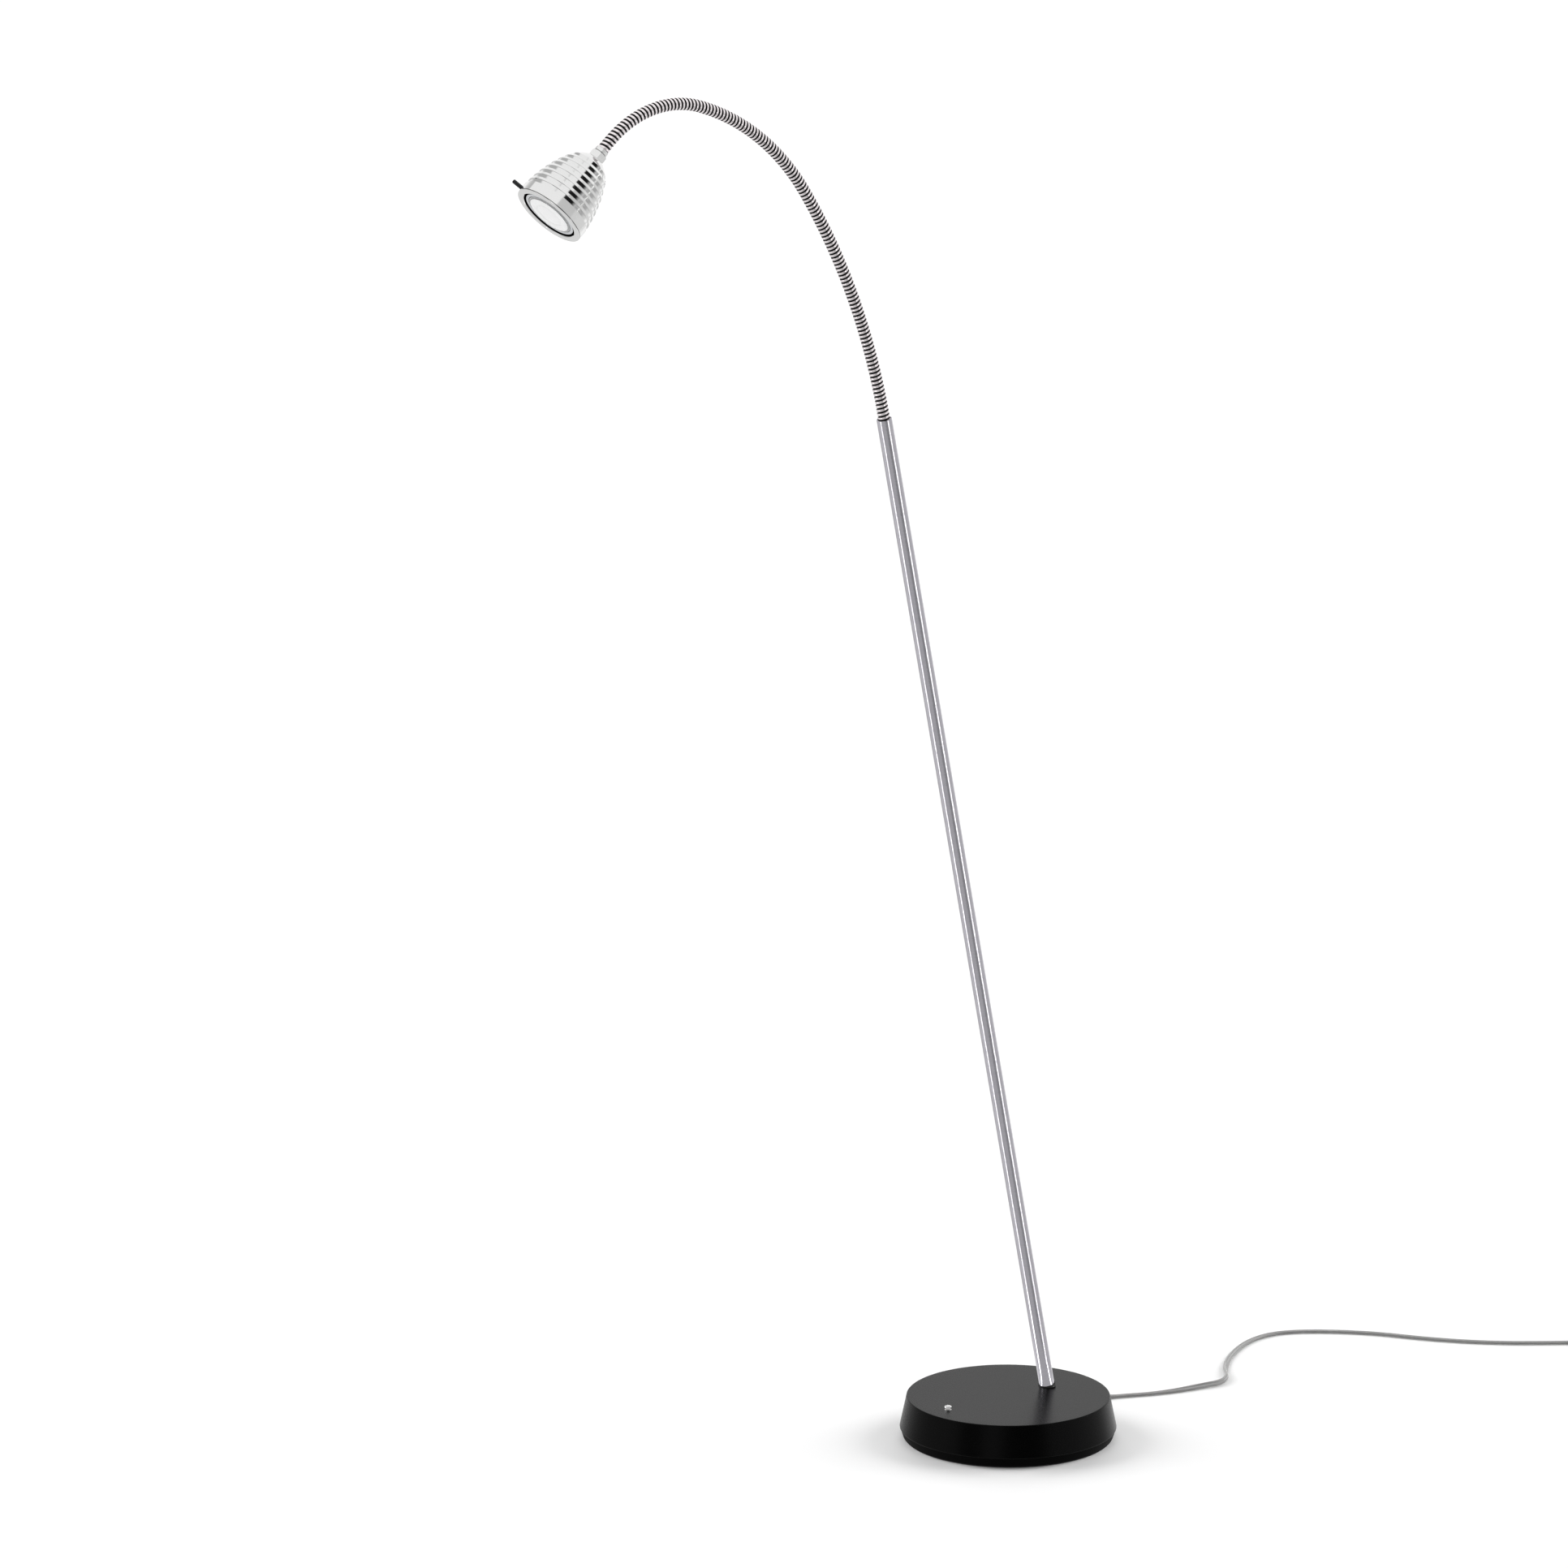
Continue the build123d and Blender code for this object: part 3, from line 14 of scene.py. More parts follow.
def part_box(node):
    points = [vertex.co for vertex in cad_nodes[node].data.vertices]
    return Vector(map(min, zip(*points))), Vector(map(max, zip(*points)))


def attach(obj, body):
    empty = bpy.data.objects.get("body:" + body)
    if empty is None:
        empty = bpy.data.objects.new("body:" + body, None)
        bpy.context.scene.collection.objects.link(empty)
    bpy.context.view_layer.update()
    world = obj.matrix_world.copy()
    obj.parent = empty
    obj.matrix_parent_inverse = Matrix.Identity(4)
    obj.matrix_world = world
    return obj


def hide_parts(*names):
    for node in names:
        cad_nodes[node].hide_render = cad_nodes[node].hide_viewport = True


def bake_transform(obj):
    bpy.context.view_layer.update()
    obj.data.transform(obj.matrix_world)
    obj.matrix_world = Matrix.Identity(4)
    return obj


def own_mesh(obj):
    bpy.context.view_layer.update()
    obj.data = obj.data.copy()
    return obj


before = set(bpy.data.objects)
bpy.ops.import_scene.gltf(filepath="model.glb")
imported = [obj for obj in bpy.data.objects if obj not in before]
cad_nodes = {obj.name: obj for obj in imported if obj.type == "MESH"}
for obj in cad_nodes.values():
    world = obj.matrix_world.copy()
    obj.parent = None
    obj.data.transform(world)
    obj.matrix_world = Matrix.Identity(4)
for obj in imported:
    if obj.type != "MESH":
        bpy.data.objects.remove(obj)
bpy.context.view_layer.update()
MM = 0.001  # every size below is written in millimetres, and Blender works in metres

# %% [markdown]
# ## The camera
# The photograph was taken from far away with a long lens, from the front right and a little above.
# Its place was worked out from the ellipses of the base and the lean of the tube, so the camera is
# written here as plain numbers: where it stands, where it points, and how long its lens is.

# %% Camera
EYE = Vector((7092.7, -5835.4, 2948.9)) * MM
AIM = Vector((-243.7, -71.1, 582.4)) * MM
bpy.ops.object.camera_add(location=EYE)
camera = bpy.context.object
camera.name = "photo_camera"
camera.rotation_mode = "QUATERNION"
camera.rotation_quaternion = (AIM - EYE).to_track_quat("-Z", "Y")
camera.data.lens = 239.78
camera.data.sensor_width = 36.0
camera.data.clip_end = 100.0
bpy.context.scene.camera = camera
print("camera", round((AIM - EYE).length, 3), "m from its aim")

# %% [markdown]
# ## Small helpers
# Operators act on whatever is selected, so one helper leaves just the wanted objects selected.
# A second one lays a finished piece in the frame and applies its place, so that each object sits at
# the origin, unturned, as the solids of the frame do. The others wrap what a piece needs most often:
# a modifier, rounded edges, a cut, and faces that all point outwards.

# %% Selecting, placing and finishing
def only(*objects):
    """Leaves these objects selected, with the first one active."""
    bpy.ops.object.select_all(action="DESELECT")
    for thing in objects:
        thing.select_set(True)
    bpy.context.view_layer.objects.active = objects[0]


def edit(piece, how="SELECT"):
    """Opens a piece in edit mode with everything or nothing selected."""
    only(piece)
    bpy.ops.object.mode_set(mode="EDIT")
    bpy.ops.mesh.select_mode(type="VERT")
    bpy.ops.mesh.select_all(action=how)


def done():
    """Back to object mode."""
    bpy.ops.object.mode_set(mode="OBJECT")


def weld(gap=0.001):
    """Merges points closer than a gap in millimetres, turns every face outwards and leaves edit mode."""
    bpy.ops.mesh.select_all(action="SELECT")
    bpy.ops.mesh.remove_doubles(threshold=gap * MM)
    bpy.ops.mesh.select_all(action="SELECT")
    bpy.ops.mesh.normals_make_consistent(inside=False)
    done()


def place(piece, matrix):
    """Moves a piece into the frame and applies its place to its mesh."""
    only(piece)
    piece.matrix_world = matrix @ piece.matrix_world
    bpy.ops.object.transform_apply(location=True, rotation=True, scale=True)


def modify(piece, kind, **settings):
    """Adds one modifier with its settings and applies it."""
    only(piece)
    modifier = piece.modifiers.new(kind.title(), kind)
    for name, value in settings.items():
        setattr(modifier, name, value)
    bpy.ops.object.modifier_apply(modifier=modifier.name)


def bevel(piece, width, segments=2, angle=35.0):
    """Rounds the edges that are sharper than an angle; the width is in millimetres."""
    limit = math.radians(angle)
    modify(piece, "BEVEL", width=width * MM, segments=segments, limit_method="ANGLE", angle_limit=limit)


def smooth(piece, angle):
    """Smooths the faces that meet at less than an angle; large faces keep their own direction."""
    only(piece)
    bpy.ops.object.shade_smooth_by_angle(angle=math.radians(angle))
    modify(piece, "WEIGHTED_NORMAL", keep_sharp=True)


def soften(piece, width, segments=2, angle=35.0):
    """Rounds the sharp edges a little, then smooths what is left."""
    bevel(piece, width, segments, angle)
    smooth(piece, angle)


def cut(piece, cutter, how="DIFFERENCE"):
    """Cuts one closed mesh with another and removes the cutter."""
    modify(piece, "BOOLEAN", operation=how, object=cutter, solver="EXACT")
    bpy.data.objects.remove(cutter)


def face_radius(piece, face):
    """How far a face's outermost corner lies from the Z axis, in millimetres."""
    corners = (piece.data.vertices[v].co for v in face.vertices)
    return max(math.hypot(corner.x, corner.y) for corner in corners) / MM


# %% [markdown]
# ## Turning on a lathe
# Most pieces of this lamp were turned or spun, so each starts as half of its section. One vertex is
# extruded from point to point of that section and the chain is then spun once round the Z axis.
# A section that starts and ends on the axis gives a closed body; any other is closed on itself.

# %% The lathe
def chain(name, section):
    """A chain of edges through (radius, height) points, in millimetres, still open in edit mode."""
    bpy.ops.object.select_all(action="DESELECT")
    bpy.ops.mesh.primitive_plane_add(size=MM)
    piece = bpy.context.object
    piece.name = name
    edit(piece)
    bpy.ops.mesh.merge(type="CENTER")
    bpy.ops.transform.translate(value=(section[0][0] * MM, 0, section[0][1] * MM))
    for (r, z), (next_r, next_z) in zip(section, section[1:]):
        step = ((next_r - r) * MM, 0, (next_z - z) * MM)
        bpy.ops.mesh.extrude_vertices_move(TRANSFORM_OT_translate={"value": step})
    return piece


def turned(name, section, steps=96):
    """Spins a section of (radius, height) points, in millimetres, round the Z axis."""
    if section[0][0] > 0 and section[0] != section[-1]:
        section = section + section[:1]
    piece = chain(name, section)
    bpy.ops.mesh.select_all(action="SELECT")
    bpy.ops.mesh.remove_doubles(threshold=0.001 * MM)
    bpy.ops.mesh.select_all(action="SELECT")
    bpy.ops.mesh.spin(steps=steps, angle=2 * math.pi, center=(0, 0, 0), axis=(0, 0, 1))
    weld()
    return piece


# %% [markdown]
# Two more starts: a round or six-sided bar along Z, for studs, bores and nuts, and a block.

# %% Bar and block
def bar(name, radius, low, high, vertices=48):
    """A round or many-sided bar along Z between two heights."""
    bpy.ops.object.select_all(action="DESELECT")
    middle = (0, 0, (high + low) / 2 * MM)
    bpy.ops.mesh.primitive_cylinder_add(
        vertices=vertices, radius=radius * MM, depth=(high - low) * MM, location=middle
    )
    piece = bpy.context.object
    piece.name = name
    bpy.ops.object.transform_apply(location=True, rotation=True, scale=True)
    return piece


def block(name, size, centre=(0, 0, 0)):
    """A box of a size round a centre, both in millimetres."""
    bpy.ops.object.select_all(action="DESELECT")
    bpy.ops.mesh.primitive_cube_add(size=1.0)
    piece = bpy.context.object
    piece.name = name
    piece.scale = Vector(size) * MM
    piece.location = Vector(centre) * MM
    bpy.ops.object.transform_apply(location=True, rotation=True, scale=True)
    return piece


# %% [markdown]
# ## The lamp's own axes
# The tube leans forward by 11.77 degrees and the head looks down along the end of the gooseneck.
# Three matrices carry pieces from the lathe's Z axis to the tube's foot and to the head, and one
# function gives the gooseneck's centre line: three arcs, each rounder than the last.

# %% Axes of the tube, the neck and the head
BASE_HEIGHT = 39.7
POLE_RADIUS = 7.0
POLE_LENGTH = 957.3
LEAN = math.radians(11.77)
SEAT_LIP = 0.4
POLE_AXIS = Vector((0, -math.sin(LEAN), math.cos(LEAN)))
POLE_FOOT = Vector((0, 46.4, BASE_HEIGHT))
TUBE_RISE = (SEAT_LIP + POLE_RADIUS * math.sin(LEAN)) / math.cos(LEAN)
POLE_TOP = POLE_FOOT + POLE_AXIS * (TUBE_RISE + POLE_LENGTH)
NECK_BENDS = ((236.0, 21.8), (149.0, 37.7), (105.0, 59.4))
NECK_STRAIGHT = 11.0
NECK_IN_TUBE = 30.0
NECK_LENGTH = sum(length for length, turn in NECK_BENDS) + NECK_STRAIGHT


def standing(origin, x, y, z):
    """A matrix that carries the three axes to directions of the lamp, round a point of it."""
    return Matrix.Translation(origin * MM) @ Matrix((x, y, z)).transposed().to_4x4()


def frame_at(origin, axis):
    """A matrix that carries the Z axis to an axis of the lamp, X staying across it."""
    x, z = Vector((1, 0, 0)), axis.normalized()
    return standing(origin, x, z.cross(x), z)


def neck_frame(s):
    """Point on the gooseneck's centre line, s from the tube's mouth, and its direction."""
    heading = math.pi / 2 - LEAN
    point = POLE_TOP - POLE_AXIS * NECK_IN_TUBE
    left = s + NECK_IN_TUBE
    for length, turn in ((NECK_IN_TUBE, 0.0),) + NECK_BENDS + ((NECK_STRAIGHT, 0.0),):
        step = min(left, length)
        if turn == 0:
            point = point + Vector((0, -math.cos(heading), math.sin(heading))) * step
        else:
            radius = length / math.radians(turn)
            end = heading - step / radius
            chord = Vector((0, math.sin(end) - math.sin(heading), math.cos(end) - math.cos(heading)))
            point = point + chord * radius
            heading = end
        left -= step
    return point, Vector((0, -math.cos(heading), math.sin(heading)))


HEAD_ORIGIN, HEAD_AXIS = neck_frame(NECK_LENGTH)
on_pole = frame_at(POLE_FOOT, POLE_AXIS)
on_head = frame_at(HEAD_ORIGIN, HEAD_AXIS)
print("tube's mouth", [round(v, 1) for v in POLE_TOP], "neck's end", [round(v, 1) for v in HEAD_ORIGIN])

# %% [markdown]
# ## Colours and nodes
# Colours are written as sRGB hex, as a colour picker shows them, and turned to the linear values
# that a shader works in. One small function adds a node, sets it up and links what feeds it.

# %% Colour and node helpers
def linear(code):
    """A hex colour as linear red, green, blue and alpha."""
    channels = [int(code[i : i + 2], 16) / 255 for i in (1, 3, 5)]
    return tuple(c / 12.92 if c <= 0.04045 else ((c + 0.055) / 1.055) ** 2.4 for c in channels) + (1.0,)


def add(tree, kind, inputs=None, **settings):
    """Adds a node with its settings; each input is a value or another node's output."""
    made = tree.nodes.new(kind)
    for name, value in settings.items():
        setattr(made, name, value)
    for key, value in (inputs or {}).items():
        if isinstance(value, bpy.types.NodeSocket):
            tree.links.new(value, made.inputs[key])
        else:
            made.inputs[key].default_value = value
    return made


def finish_of(name, colour, roughness, metallic=0.0, **more):
    """Starts a material: its node tree, its shader and its object coordinates."""
    material = bpy.data.materials.new(name)
    material.use_nodes = True
    tree = material.node_tree
    tree.nodes.clear()
    fixed = {"Base Color": linear(colour), "Roughness": roughness, "Metallic": metallic}
    shader = add(tree, "ShaderNodeBsdfPrincipled", fixed)
    for key, value in more.items():
        shader.inputs[key.replace("_", " ")].default_value = value
    add(tree, "ShaderNodeOutputMaterial", {"Surface": shader.outputs[0]})
    where = add(tree, "ShaderNodeTexCoord").outputs["Object"]
    return material, tree, shader, where


def paint(piece, *materials):
    """Gives a piece or a solid its materials."""
    piece.data.materials.clear()
    for material in materials:
        piece.data.materials.append(material)


# %% [markdown]
# No real surface is quite even. One noise gives a material its fine relief, and the same noise varies
# its gloss between two roughnesses, or its colour between two hex colours, where two are given.

# %% A material with grain
def grained(name, colours, gloss, relief, metallic=0.0, stretch=(1, 1, 1), turn=(0, 0, 0), **more):
    """A material whose relief is (size in mm, depth in mm, share); colours and gloss are one or two."""
    size, depth, share = relief
    material, tree, shader, where = finish_of(name, colours[0], gloss[0], metallic, **more)
    way = {"Vector": where, "Rotation": turn, "Scale": stretch}
    mapped = add(tree, "ShaderNodeMapping", way, vector_type="TEXTURE").outputs[0]
    noise = add(tree, "ShaderNodeTexNoise", {"Vector": mapped, "Scale": 1 / (size * MM), "Detail": 3.0}).outputs[0]
    bump = add(tree, "ShaderNodeBump", {"Height": noise, "Distance": depth * MM, "Strength": share})
    tree.links.new(bump.outputs[0], shader.inputs["Normal"])
    if len(gloss) == 2:
        uneven = add(tree, "ShaderNodeMapRange", {"Value": noise, "To Min": gloss[0], "To Max": gloss[1]})
        tree.links.new(uneven.outputs[0], shader.inputs["Roughness"])
    if len(colours) == 2:
        pair = {0: noise, 6: linear(colours[0]), 7: linear(colours[1])}
        tree.links.new(add(tree, "ShaderNodeMix", pair, data_type="RGBA").outputs[2], shader.inputs["Base Color"])
    return material


# %% [markdown]
# ## The studio
# The photograph has a white sweep and a soft key light from behind and above that throws the base's
# shadow towards the viewer. Polished metal shows the room itself, so the room is painted by direction:
# white overhead and behind, grey towards the camera, a light grey screen to the right, two tall white
# strips that draw the bright lines down the tube, and one black card beside the camera that draws the
# dark streaks in the head's grooves.

# %% The room, as the camera, metal and matt surfaces see it
VIEW = (EYE - AIM).normalized()
FLAT_VIEW = Vector((VIEW.x, VIEW.y, 0)).normalized()
FILL = 0.37  # light from all round on matt surfaces
STRIP_LEVEL = 6.0
STRIP_COSINE, STRIP_HALF = 0.5, 0.075  # the strips stand 60 degrees to both sides of the camera
STRIP_SLOPE = -0.363  # where they cross the mirrored view of the tube, as a cosine to its axis
world = bpy.data.worlds.new("studio")
bpy.context.scene.world = world
world.use_nodes = True
sky = world.node_tree
sky.nodes.clear()
direction = add(sky, "ShaderNodeTexCoord").outputs["Generated"]


def walls(tree, way):
    """Brightness of the plain walls in a direction, white behind and grey in front, and where a strip is."""
    level_way = add(tree, "ShaderNodeVectorMath", {0: way, 1: (1, 1, 0)}, operation="MULTIPLY").outputs[0]
    level_way = add(tree, "ShaderNodeVectorMath", {0: level_way}, operation="NORMALIZE").outputs[0]
    facing = add(tree, "ShaderNodeVectorMath", {0: level_way, 1: FLAT_VIEW}, operation="DOT_PRODUCT")
    towards = facing.outputs["Value"]
    white_to_grey = {"Value": towards, "From Min": -0.2, "From Max": 0.45, "To Min": 1.05, "To Max": 0.66}
    plain = add(tree, "ShaderNodeMapRange", white_to_grey)
    strip = add(tree, "ShaderNodeMath", {0: towards, 1: STRIP_COSINE, 2: STRIP_HALF}, operation="COMPARE")
    return plain.outputs[0], strip.outputs[0]


def patch(room, centre, inner, outer, level):
    """Paints a round patch of the room, given in degrees from its centre, over what is there."""
    way = {0: direction, 1: Vector(centre).normalized()}
    nearness = add(sky, "ShaderNodeVectorMath", way, operation="DOT_PRODUCT").outputs["Value"]
    edge, full = math.cos(math.radians(outer)), math.cos(math.radians(inner))
    inside = add(sky, "ShaderNodeMapRange", {"Value": nearness, "From Min": edge, "From Max": full})
    return add(sky, "ShaderNodeMix", {0: inside.outputs[0], 2: room, 3: level}).outputs[0]


room, strip = walls(sky, direction)
room = patch(room, (-0.762, 0.153, -0.629), 32, 45, 0.78)  # the floor behind
room = patch(room, (0.80, 0.30, -0.50), 30, 40, 0.46)  # the floor on the right
room = patch(room, (0.45, 0.85, -0.28), 26, 30, 0.78)  # the wall on the right
room = patch(room, (0.85, 0.45, -0.05), 16, 20, 0.75)  # the wall's near end
room = patch(room, (0.96, 0.08, 0.30), 29, 30.5, 0.64)  # the grey screen

# Only the tube shows the strips: they end where other pieces would mirror them.
along_tube = add(sky, "ShaderNodeVectorMath", {0: direction, 1: POLE_AXIS}, operation="DOT_PRODUCT").outputs["Value"]
window = add(sky, "ShaderNodeMath", {0: along_tube, 1: STRIP_SLOPE, 2: STRIP_HALF}, operation="COMPARE").outputs[0]
strip = add(sky, "ShaderNodeMath", {0: strip, 1: window}, operation="MULTIPLY").outputs[0]
room = add(sky, "ShaderNodeMix", {0: strip, 2: room, 3: STRIP_LEVEL}).outputs[0]

room = patch(room, (-0.79, -0.50, 0.35), 26, 44, 0.5)  # a grey flat on the left
room = patch(room, (0.173, -0.981, 0.087), 11, 16, 0.06)  # a black flag on the left
room = patch(room, (0.92, -0.36, 0.09), 17, 29, 0.01)  # the black card
room = patch(room, (0.655, -0.476, 0.588), 17, 18, 1.0)  # a white card above it
room = patch(room, (0, 0, 1), 50, 52, 1.0)  # the ceiling

# Mirrors and glass see the room, matt surfaces an even fill, and the camera a white page.
rays = add(sky, "ShaderNodeLightPath").outputs
mirrored = add(
    sky, "ShaderNodeMath", {0: rays["Is Glossy Ray"], 1: rays["Is Transmission Ray"]}, operation="MAXIMUM"
).outputs[0]
indoors = add(sky, "ShaderNodeMix", {0: mirrored, 2: FILL, 3: room}).outputs[0]
strength = add(sky, "ShaderNodeMix", {0: rays["Is Camera Ray"], 2: indoors, 3: 1.0}).outputs[0]
white = add(sky, "ShaderNodeBackground", {"Color": (1, 1, 1, 1), "Strength": strength})
add(sky, "ShaderNodeOutputWorld", {"Surface": white.outputs[0]})

# %% Three soft key lights, behind and to both sides
KEY_OUT, KEY_UP = 1.4, 0.85  # metres; a sun's place only sets its slope
KEY_SPREAD = math.radians(42)  # wide, so that the shadow's edge is soft
for name, degrees, energy in (("key_back", 180, 1.0), ("key_left", 108, 1.75), ("key_right", -108, 1.75)):
    way = Matrix.Rotation(math.radians(degrees), 3, "Z") @ FLAT_VIEW
    bpy.ops.object.light_add(type="SUN", location=way * KEY_OUT + Vector((0, 0, KEY_UP)))
    key = bpy.context.object
    key.name = name
    key.data.energy = energy
    key.data.angle = KEY_SPREAD
    key.visible_glossy = False
    key.rotation_mode = "QUATERNION"
    key.rotation_quaternion = (-key.location).to_track_quat("-Z", "Y")

# %% [markdown]
# ## The floor
# The floor is a white sweep that comes out as white as the page and still holds the shadow that seats
# the lamp on it. A little light of its own lifts it to white. Mirrors look past it at the room.

# %% Floor
FLOOR_SIZE, FLOOR_GLOW = 60.0, 0.035  # metres, and a little light of its own
bpy.ops.mesh.primitive_plane_add(size=FLOOR_SIZE)
floor = bpy.context.object
floor.name = "studio_floor"
paper, tree, shader, where = finish_of("matt_white_paper", "#f6f6f6", 1.0, Specular_IOR_Level=0.0)
shader.inputs["Emission Color"].default_value = (1, 1, 1, 1)
shader.inputs["Emission Strength"].default_value = FLOOR_GLOW
paint(floor, paper)
floor.visible_glossy = False

# %% [markdown]
# The tube stays bright down to its foot, with no reflection of the black base. So mirrors look
# through the base's cover, and a card just under its top glows with the walls' brightness: a painted
# reflection that carries the walls on to the foot.

# %% The card at the tube's foot, which glows as a painted reflection
CARD_RADIUS, CARD_HEIGHT = 92.0, 39.2
bpy.ops.mesh.primitive_circle_add(
    vertices=96, radius=CARD_RADIUS * MM, fill_type="NGON", location=(0, 0, CARD_HEIGHT * MM)
)
card = bpy.context.object
card.name = "foot_card_painted_reflection"
bpy.ops.object.transform_apply(location=True, rotation=True, scale=True)
painted_reflection_glow, tree, shader, where = finish_of("foot_glow_painted_reflection", "#000000", 1.0, Specular_IOR_Level=0.0)
# painted reflection: the card's glow copies the walls and strips as seen outwards from the tube's foot, though the
# card is no lamp
outwards = add(tree, "ShaderNodeVectorMath", {0: where, 1: POLE_FOOT * MM}, operation="SUBTRACT").outputs[0]
plain, strip = walls(tree, outwards)
painted_reflection_level = add(tree, "ShaderNodeMix", {0: strip, 2: plain, 3: STRIP_LEVEL}).outputs[0]
shader.inputs["Emission Color"].default_value = (1, 1, 1, 1)
tree.links.new(painted_reflection_level, shader.inputs["Emission Strength"])
paint(card, painted_reflection_glow)
card.visible_camera = card.visible_diffuse = card.visible_transmission = card.visible_shadow = False

# %% [markdown]
# ## Finishes
# Powder-coated steel: paint sprayed as powder and baked, which leaves a satin black skin with a very
# fine orange peel. It is what dulls the base's reflections into soft smears. The real grain is about
# 0.2 mm; it is drawn at 0.5 mm so that it still shows in a whole view.

# %% Powder coat
ORANGE_PEEL = (0.5, 0.012, 0.6)
black_coat = grained("satin_black_powder_coat", ["#050505"], (0.22, 0.32), ORANGE_PEEL, Specular_IOR_Level=0.07)
# this matt black is also the painted shade in the front ring's joint line and bore
dark_coat_and_painted_shade = grained("matt_black_powder_coat_and_painted_shade", ["#020202"], (0.5, 0.7), ORANGE_PEEL, Specular_IOR_Level=0.03)

# %% [markdown]
# Brushed stainless steel: drawn tube that is linished with a fine belt while it turns. The lines run
# round it, so they smear reflections along the tube and keep them crisp across it. Here they are
# noise that is stretched round the tube's own axis. The gooseneck's strip is nickel-plated and
# rolled, so it is softer, and the faces in the gaps between its turns are painted near-black as painted shade, for the
# shade that falls deep between the ribs.

# %% Brushed steel, wound strip and turned steel
steel_tube = grained(
    "brushed_stainless_steel", ("#b4b2b9", "#c2c0c6"), (0.1, 0.16), (0.25, 0.05, 1.0), 1.0,
    stretch=(80, 80, 1), turn=(LEAN, 0, 0),
)
wound_steel = grained("nickel_plated_steel_strip", ("#efe7e9", "#f8f3f4"), (0.3, 0.36), (0.35, 0.006, 0.5), 1.0)
# painted shade: near-black for the faces deep in the gaps between the gooseneck's ribs
gap_painted_shade = grained("near_black_gap_painted_shade", ["#0c0a0b"], (0.42, 0.6), (0.3, 0.01, 0.5), 0.2)
turned_steel = grained("turned_steel", ["#b4b2b0"], (0.22, 0.36), (0.5, 0.004, 0.5), 1.0)

# %% [markdown]
# Polished aluminium: turned, then buffed, so it is nearly a mirror. Very fine turning marks run round
# the axis and stay just visible as a slight softness. Chrome is harder and smoother still. The aiming
# rod is given a near-black metal colour as a painted reflection: its dark middle stands in for the dark
# room that it mirrors, and its rim still mirrors the room.

# %% Polished aluminium, chrome and the rod's dark painted reflection
polished = grained("polished_aluminium", ("#e2e2e2", "#ebebea"), (0.07, 0.14), (0.6, 0.003, 0.4), 1.0)
chrome = grained("bright_chrome", ["#d6d6d6"], (0.04, 0.09), (0.5, 0.002, 0.3), 1.0)
rod_painted_reflection = grained("dark_metal_painted_reflection", ["#3a3a3b"], (0.14, 0.22), (0.5, 0.002, 0.3), 1.0)

# %% [markdown]
# Moulded and soft materials: EPDM rubber is matt with a slight bloom, nylon is a little glossier,
# felt is a mat of fibres that scatters light, and the flex is clear PVC over tinned copper strands.

# %% Rubber, nylon, felt and PVC
rubber = grained("moulded_black_rubber", ["#101010"], (0.5, 0.72), (0.4, 0.01, 0.5), Specular_IOR_Level=0.35)
nylon = grained("moulded_black_nylon", ["#141414"], (0.42, 0.6), (0.3, 0.008, 0.5))
felt = grained(
    "pressed_black_felt", ("#121213", "#262628"), [0.95], (0.8, 0.15, 0.8), Sheen_Weight=0.3, Sheen_Roughness=0.5
)
clear_pvc = grained("clear_pvc", ["#c6c6c5"], (0.08, 0.2), (3.0, 0.05, 0.4), IOR=1.46, Transmission_Weight=0.6)
strands = grained("tinned_copper_strands", ("#5f5e5d", "#989796"), [0.3], (0.6, 0.05, 0.8), 1.0)
plug_white = grained("moulded_white_pvc", ["#e4e3e0"], (0.28, 0.42), (0.6, 0.01, 0.5))
jacket = grained("white_cable_jacket", ["#d6d4cf"], (0.42, 0.58), (0.5, 0.01, 0.5))

# %% [markdown]
# Glass and ceramic: the front glass is pressed and etched, so it lets light through but no picture,
# the reflector is a vacuum-coated mirror, and the lamp's base and holder are unglazed steatite.

# %% Glass, mirror and ceramic
etched_glass = grained(
    "etched_front_glass", ["#fbfbfb"], (0.32, 0.5), (0.7, 0.03, 0.5), IOR=1.5, Transmission_Weight=0.08
)
clear_glass = grained("pressed_glass", ["#e6e7e7"], (0.06, 0.18), (1.5, 0.05, 0.5), IOR=1.5, Transmission_Weight=0.6)
mirror = grained("coated_reflector", ["#d9dbde"], (0.08, 0.2), (2.5, 0.25, 0.6), 1.0)
quartz = grained("quartz_glass", ["#f4f6f8"], (0.02, 0.06), (2.0, 0.02, 0.3), IOR=1.46, Transmission_Weight=1.0)
steatite = grained("unglazed_steatite", ("#d2cbbd", "#e4dfd5"), [0.6], (0.4, 0.02, 0.5))

# %% [markdown]
# Hidden metals: grey cast iron with its sand skin, zinc-plated fasteners, and the transformer's
# lacquered copper winding, whose turns are 20 mm rings of a wave.

# %% Cast iron, zinc and copper
cast_iron = grained("grey_cast_iron", ("#46474b", "#66676a"), [0.7], (1.2, 0.12, 0.9), 0.7)
zinc = grained("zinc_plated_steel", ("#a5a8ad", "#c0c1bf"), [0.35], (1.0, 0.01, 0.5), 1.0)

